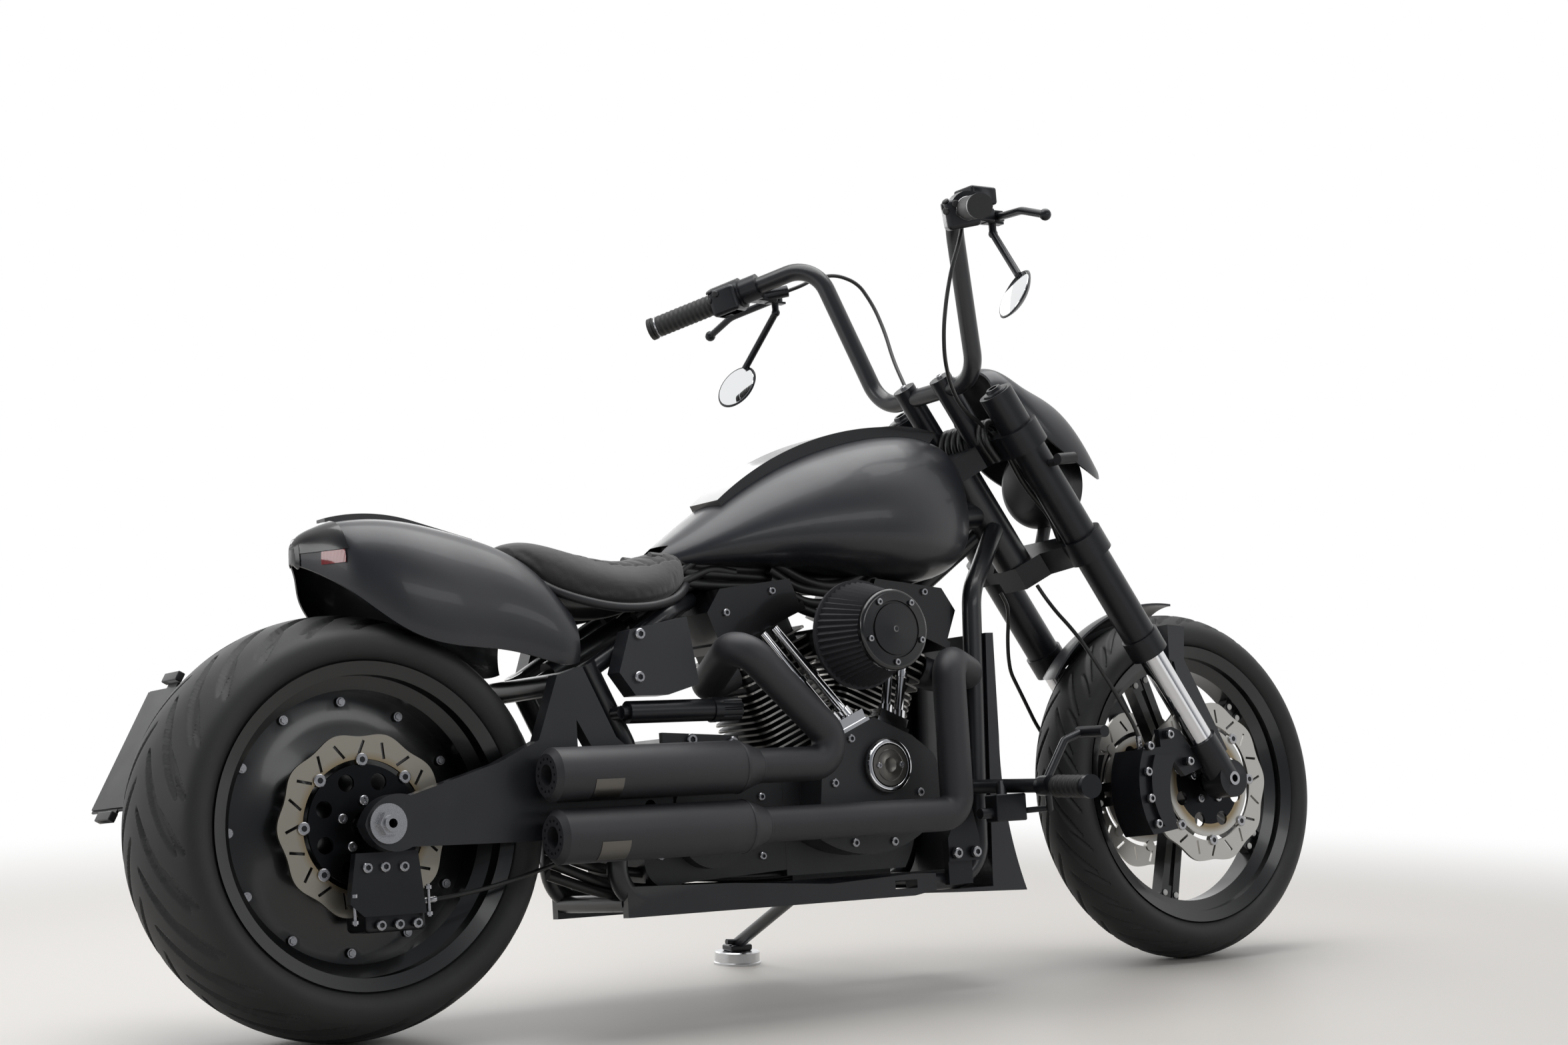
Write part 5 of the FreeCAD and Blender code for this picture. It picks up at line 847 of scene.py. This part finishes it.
# %% Ferrules and hollow bolts
FERRULE = turned([(3.0, 0), (5.2, 0), (5.6, 2), (5.6, 6), (4.9, 7), (5.4, 8), (5.4, 17), (4.4, 20), (3.0, 20),
                  (3.0, 0)])
piece("hose_ferrules", [stand_on(FERRULE, (1522, side * 111.8, 387), (-5, side * 4, 20)) for side in SIDES],
      "steering", ZINC)
piece("hose_bolts", [stand_on(hex_head(7, 7), (1523, side * 112, 381), (0, side, 0)) for side in SIDES],
      "steering", ZINC)
piece("rear_hose_ferrule", stand_on(FERRULE, (86, -112.5, 206.7), (1, -0.42, 0.11)), "chassis", ZINC)

# %% [markdown]
# ## Wiring, breather hoses and plates
# Under a real tank there is no daylight: the loom, the breather hoses and the throttle wires fill the
# tunnel beside the backbone, and more of them hang behind the fork tubes and in front of the rear wheel.
# Each is a round rod on a smooth path with a slow wave in it, as wires laid by hand have.

# %% Bundles of wires
WIRE_POINTS = 60


def bundle(name, routes, radius, wave, body):
    """Rods on smooth paths, each lifted by wave times a sine with a phase of its own."""
    rods = []
    share = np.linspace(0, 1, WIRE_POINTS)
    for number, route in enumerate(routes):
        path = through(route, WIRE_POINTS)
        path[:, 2] += wave * np.sin(9 * share + 2.1 * number) * np.sin(np.pi * share)
        rods.append(tube(path, radius))
    piece(name, rods, body, HOSE_RUBBER)


bundle("tank_loom", [[(560, y, 722 + z), (700, y * 1.1, 706 + z), (900, y, 704 + z), (1060, y, 716 + z),
                      (1150, y * 0.6, 730 + z)]
                     for y, z in ((-46, 0), (-44, 17), (-46, -16), (40, 2), (42, 18), (40, -15), (-30, 9),
                                  (28, 10))], 9.0, 4.0, "chassis")
bundle("seat_loom", [[(520, y, 640 + z), (600, y, 690 + z), (660, y, 715 + z), (720, y, 712 + z)]
                     for y, z in ((-52, 0), (-50, 18), (-46, -18), (46, 0), (48, 18))], 8.5, 3.0, "chassis")
bundle("fork_loom", [[head_point(545, ahead, y), head_point(600, ahead + 6, y * 1.02),
                      head_point(680, ahead - 4, y), head_point(731, ahead, y * 0.98)]
                     for ahead in (-12, 2, 16) for y in (-90, 90)], 5.5, 3.0, "steering")
bundle("throttle_loom", [[(780, -66, 712 + z), (850, -68, 676 + z), (940, -68, 674 + z), (1010, -66, 708 + z)]
                         for z in (-30, -13, 4, 21)], 8.5, 3.0, "chassis")
bundle("bar_loom", [[(1262, y, 904), (1236, y, 940), (1246, y * 0.93, 974), (1284, y * 0.88, 968),
                     (1304, y * 0.84, 926)] for y in (-96, -82, -26, -9, 8, 25, 82)], 6.0, 0.0, "steering")
bundle("oil_lines", [[(330, -62, 232 + z), (430, -66, 196 + z), (560, -66, 176 + z), (760, -66, 170 + z),
                      (930, -62, 178 + z)] for z in (0, 20, 40)], 8.5, 3.0, "chassis")

PLATE_ROWS = 12
PLATE_IN, PLATE_OUT = 0.4, 0.9


def wrapped_plate(centre, radius, x_range, z_range):
    """A thin plate bent round a pipe along X: its angles are the arcsines of (z - centre) / radius."""
    angle = np.linspace(*(math.asin((z - centre[1]) / radius) for z in z_range), PLATE_ROWS)
    back, front = x_range
    inner, outer = radius - PLATE_IN, radius + PLATE_OUT
    corners = ((inner, back), (outer, back), (outer, front), (inner, front))
    ring = np.stack([np.stack([np.full(PLATE_ROWS, x), centre[0] - r * np.cos(angle),
                               centre[1] + r * np.sin(angle)], axis=-1) for r, x in corners], axis=1)
    ends = [np.broadcast_to(ring[end].mean(axis=0), (1, 4, 3)) for end in (0, -1)]
    return np.concatenate([ends[0], ring, ends[1]])


piece("silencer_plates", [wrapped_plate(SILENCERS[0], 42, (310, 360), (346, 374)),
                          wrapped_plate(SILENCERS[1], 42, (309, 360), (252, 279))], "chassis", SATIN_METAL)
PIN = turned([(0, -24), (3, -24), (3, -22), (5.5, -22), (5.5, -17), (2.6, -16), (2.6, 16), (5.5, 17),
              (5.5, 22), (3, 22), (3, 24), (0, 24)])
piece("caliper_pins", stand_on(PIN, [(-44, -146, 202), (78, -146, 208)], (0, 0, 1)), "chassis", ZINC)

# %% [markdown]
# ## The seat
# A one-person seat is foam under thin suede: it swells between its edges, its middle is gathered in
# pleats, and a round piping hides the edge against the paint. The CAD solid gives its outer form. A copy
# is remeshed evenly, let out by a little air pressure as cloth, and then the seams are pressed in,
# because remeshing would have wiped them out.

# %% Swell the pad
SEAT_VOXEL = 0.005
SEAT_INSET = 0.002
SEAT_SWELL_CAP = 0.003
SEAT_PRESSURE = 4.0
HELD_BELOW = -0.35
LAST_FRAME = 20


def baked(obj):
    """The object's mesh with its modifiers worked out."""
    bpy.context.view_layer.update()
    return bpy.data.meshes.new_from_object(obj.evaluated_get(bpy.context.evaluated_depsgraph_get()))


seat = in_scene("seat_pad", NODES["seat"].data.copy())
seat.data.materials.clear()
even = seat.modifiers.new("even", "REMESH")
even.mode, even.voxel_size = "VOXEL", SEAT_VOXEL
seat.data = baked(seat)
seat.modifiers.clear()
facing = places_of(seat.data, "normal")
move_to(seat.data, places_of(seat.data) - SEAT_INSET * facing)
start = places_of(seat.data)
held = seat.vertex_groups.new(name="held")
held.add(np.nonzero(facing[:, 2] < HELD_BELOW)[0].tolist(), 1.0, "REPLACE")
cloth = seat.modifiers.new("swell", "CLOTH")
cloth.settings.use_pressure, cloth.settings.uniform_pressure_force = True, SEAT_PRESSURE
cloth.settings.effector_weights.gravity = 0.0
cloth.settings.vertex_group_mass = "held"
cloth.settings.quality = 5
cloth.point_cache.frame_start, cloth.point_cache.frame_end = 1, LAST_FRAME
for number in range(1, LAST_FRAME + 1):
    SCENE.frame_set(number)
move = places_of(baked(seat)) - start
seat.modifiers.clear()
SCENE.frame_set(1)
far = np.linalg.norm(move, axis=1, keepdims=True)
move *= np.minimum(1.0, SEAT_SWELL_CAP / np.maximum(far, 1e-9))
move_to(seat.data, start + move)
print("swell, mean mm", round(float(far.mean()) * 1000, 2))
finer = seat.modifiers.new("finer", "SUBSURF")
finer.levels = finer.render_levels = 1
seat.data = baked(seat)
seat.modifiers.clear()
print("seat pad", len(seat.data.polygons), "faces")

# %% [markdown]
# A pleat is a sewn valley between two soft ridges. Measured in the motorcycle's own frame, each valley
# is a line across the middle of the pad, and a point sinks by a bell curve of its distance to the line.
# Two long seams, one on each side, close the gathered panel.

# %% Press in pleats and seams
PLEAT_PITCH, PLEAT_BOW = 24.0, 7
PLEAT_DEPTH, PLEAT_WIDTH = 3.4, 3.2
RIDGE_HEIGHT, RIDGE_AT, RIDGE_WIDTH = 1.2, 9, 5
SEAM_DEPTH, SEAM_WIDTH = 2.6, 2.6
PANEL_HALF, PANEL_MIDDLE, PANEL_BACK, PANEL_FRONT = 82.0, 500, 395, 612
pad = put(BIKE.inverted(), places_of(seat.data))
up_share = np.clip(places_of(seat.data, "normal") @ np.array(BIKE.to_3x3().normalized())[:, 2], 0, 1)
half_here = PANEL_HALF * np.clip(1.15 - np.abs(pad[:, 0] - PANEL_MIDDLE) / 260, 0.3, 1)
in_panel = 1 / (1 + np.exp((np.abs(pad[:, 1]) - half_here) / 4))
along = pad[:, 0] + PLEAT_BOW * np.cos(pad[:, 1] / 30)
along = (along + PLEAT_PITCH / 2) % PLEAT_PITCH - PLEAT_PITCH / 2
ends = np.clip((pad[:, 0] - PANEL_BACK) / 20, 0, 1) * np.clip((PANEL_FRONT - pad[:, 0]) / 12, 0, 1)
pleats = (PLEAT_DEPTH * np.exp(-(along / PLEAT_WIDTH) ** 2)
          - RIDGE_HEIGHT * np.exp(-((np.abs(along) - RIDGE_AT) / RIDGE_WIDTH) ** 2))
seams = SEAM_DEPTH * np.exp(-((np.abs(pad[:, 1]) - half_here) / SEAM_WIDTH) ** 2)
sink = up_share * ends * (pleats * in_panel + seams)
pad[:, 2] -= sink
move_to(seat.data, put(BIKE, pad))
seat.data.polygons.foreach_set("use_smooth", np.ones(len(seat.data.polygons), bool))
seat.data.materials.append(LEATHER)
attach(seat, "chassis")
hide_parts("seat")
print("deepest pleat", round(float(sink.max()), 1), "mm")

PIPING_R = 7.5
EDGE = [(302, 60, 714), (350, 108, 675), (420, 136, 651), (490, 138, 648), (560, 112, 662), (613, 66, 689)]
BACK_EDGE, FRONT_EDGE = (296, 0, 722), (626, 0, 697)
edge_loop = [BACK_EDGE, *((x, -y, z) for x, y, z in EDGE), FRONT_EDGE, *EDGE[::-1], BACK_EDGE]
piece("seat_piping", [tube(through(edge_loop, 160), PIPING_R)], "chassis", MOULDED)

# %% [markdown]
# ## Studio
# A plain pale floor, and large soft lamps above and on both sides: on black paint it is the lamps'
# reflections that draw the form. Rays that show a thing directly see white behind it, and the floor
# fades into that white. Mirrored rays that go back towards the camera's side see a grey instead, so that
# black stays black.

# %% Floor, backdrop and lamps
FLOOR_SIZE = 14.0
FADE_START, FADE_END = 1.7, 3.4
CAMERA_SIDE = (-0.56, -0.83, 0.0)
WHITE = linear("#ffffff")


def math_node(tree, operation, a, b, **settings):
    """The operation on two numbers."""
    return add(tree, "Math", links={0: a, 1: b}, operation=operation, **settings), "Value"


def direct_rays(tree):
    """Whether a ray is mirrored, and 1 for camera, mirrored and transmitted rays but 0 for others."""
    rays = add(tree, "LightPath")
    mirrored = (rays, "Is Glossy Ray")
    seen = math_node(tree, "ADD", (rays, "Is Camera Ray"), mirrored)
    return mirrored, math_node(tree, "ADD", seen, (rays, "Is Transmission Ray"), use_clamp=True)


CORNERS = [(x * FLOOR_SIZE, y * FLOOR_SIZE, 0) for x, y in ((-1, -1), (1, -1), (1, 1), (-1, 1))]
floor_mesh = bpy.data.meshes.new("floor")
floor_mesh.from_pydata(CORNERS, [], [(0, 1, 2, 3)])
floor = in_scene("floor", floor_mesh)
material, tree, place = new_material("pale_floor")
distance = vector_math(tree, "LENGTH", {}, {0: place}, "Value")
far = carried(tree, distance, FADE_START, FADE_END, interpolation_type="SMOOTHSTEP")
share = math_node(tree, "MULTIPLY", far, direct_rays(tree)[1])
board = add(tree, "BsdfPrincipled", {"Base Color": linear("#c9c5c0"), "Roughness": 0.5})
blank = add(tree, "Emission", {"Color": WHITE, "Strength": 1.0})
shader = add(tree, "MixShader", links={"Fac": share, 1: (board, "BSDF"), 2: (blank, "Emission")})
add(tree, "OutputMaterial", links={"Surface": (shader, "Shader")})
floor_mesh.materials.append(material)

world = bpy.data.worlds.new("studio")
SCENE.world = world
world.use_nodes = True
tree = world.node_tree
tree.nodes.clear()
mirrored, direct = direct_rays(tree)
soft = add(tree, "Background", {"Color": linear("#eef1f5"), "Strength": 0.42})
way = add(tree, "TexCoord"), "Generated"
aside = vector_math(tree, "DOT_PRODUCT", {1: CAMERA_SIDE}, {0: way}, "Value")
near = carried(tree, aside, -0.1, 0.5, interpolation_type="SMOOTHSTEP")
surround = blend(tree, math_node(tree, "MULTIPLY", near, mirrored), WHITE, linear("#85888d"))
white = add(tree, "Background", {"Strength": 1.0}, {"Color": surround})
mixed = add(tree, "MixShader",
            links={"Fac": direct, 1: (soft, "Background"), 2: (white, "Background")})
add(tree, "OutputWorld", links={"Surface": (mixed, "Shader")})


def soft_box(name, at, towards, width, depth, power):
    """A rectangular lamp that faces a point, with its power in watts."""
    light = bpy.data.lights.new(name, "AREA")
    light.shape, light.size, light.size_y, light.energy = "RECTANGLE", width, depth, power
    lamp = in_scene(name, light)
    lamp.location = at
    lamp.rotation_euler = (Vector(towards) - Vector(at)).to_track_quat("-Z", "Y").to_euler()


soft_box("ceiling", (0.0, 0.2, 3.6), (0, 0, 0.4), 4.5, 2.6, 125)
soft_box("right_side", (0.6, -4.6, 2.6), (0, 0, 0.5), 4.0, 0.8, 34)
soft_box("tail_side", (-4.6, 0.6, 1.8), (0, 0, 0.5), 2.2, 1.2, 28)
soft_box("left_side", (0.2, 4.4, 2.2), (0, 0, 0.5), 4.0, 1.6, 40)
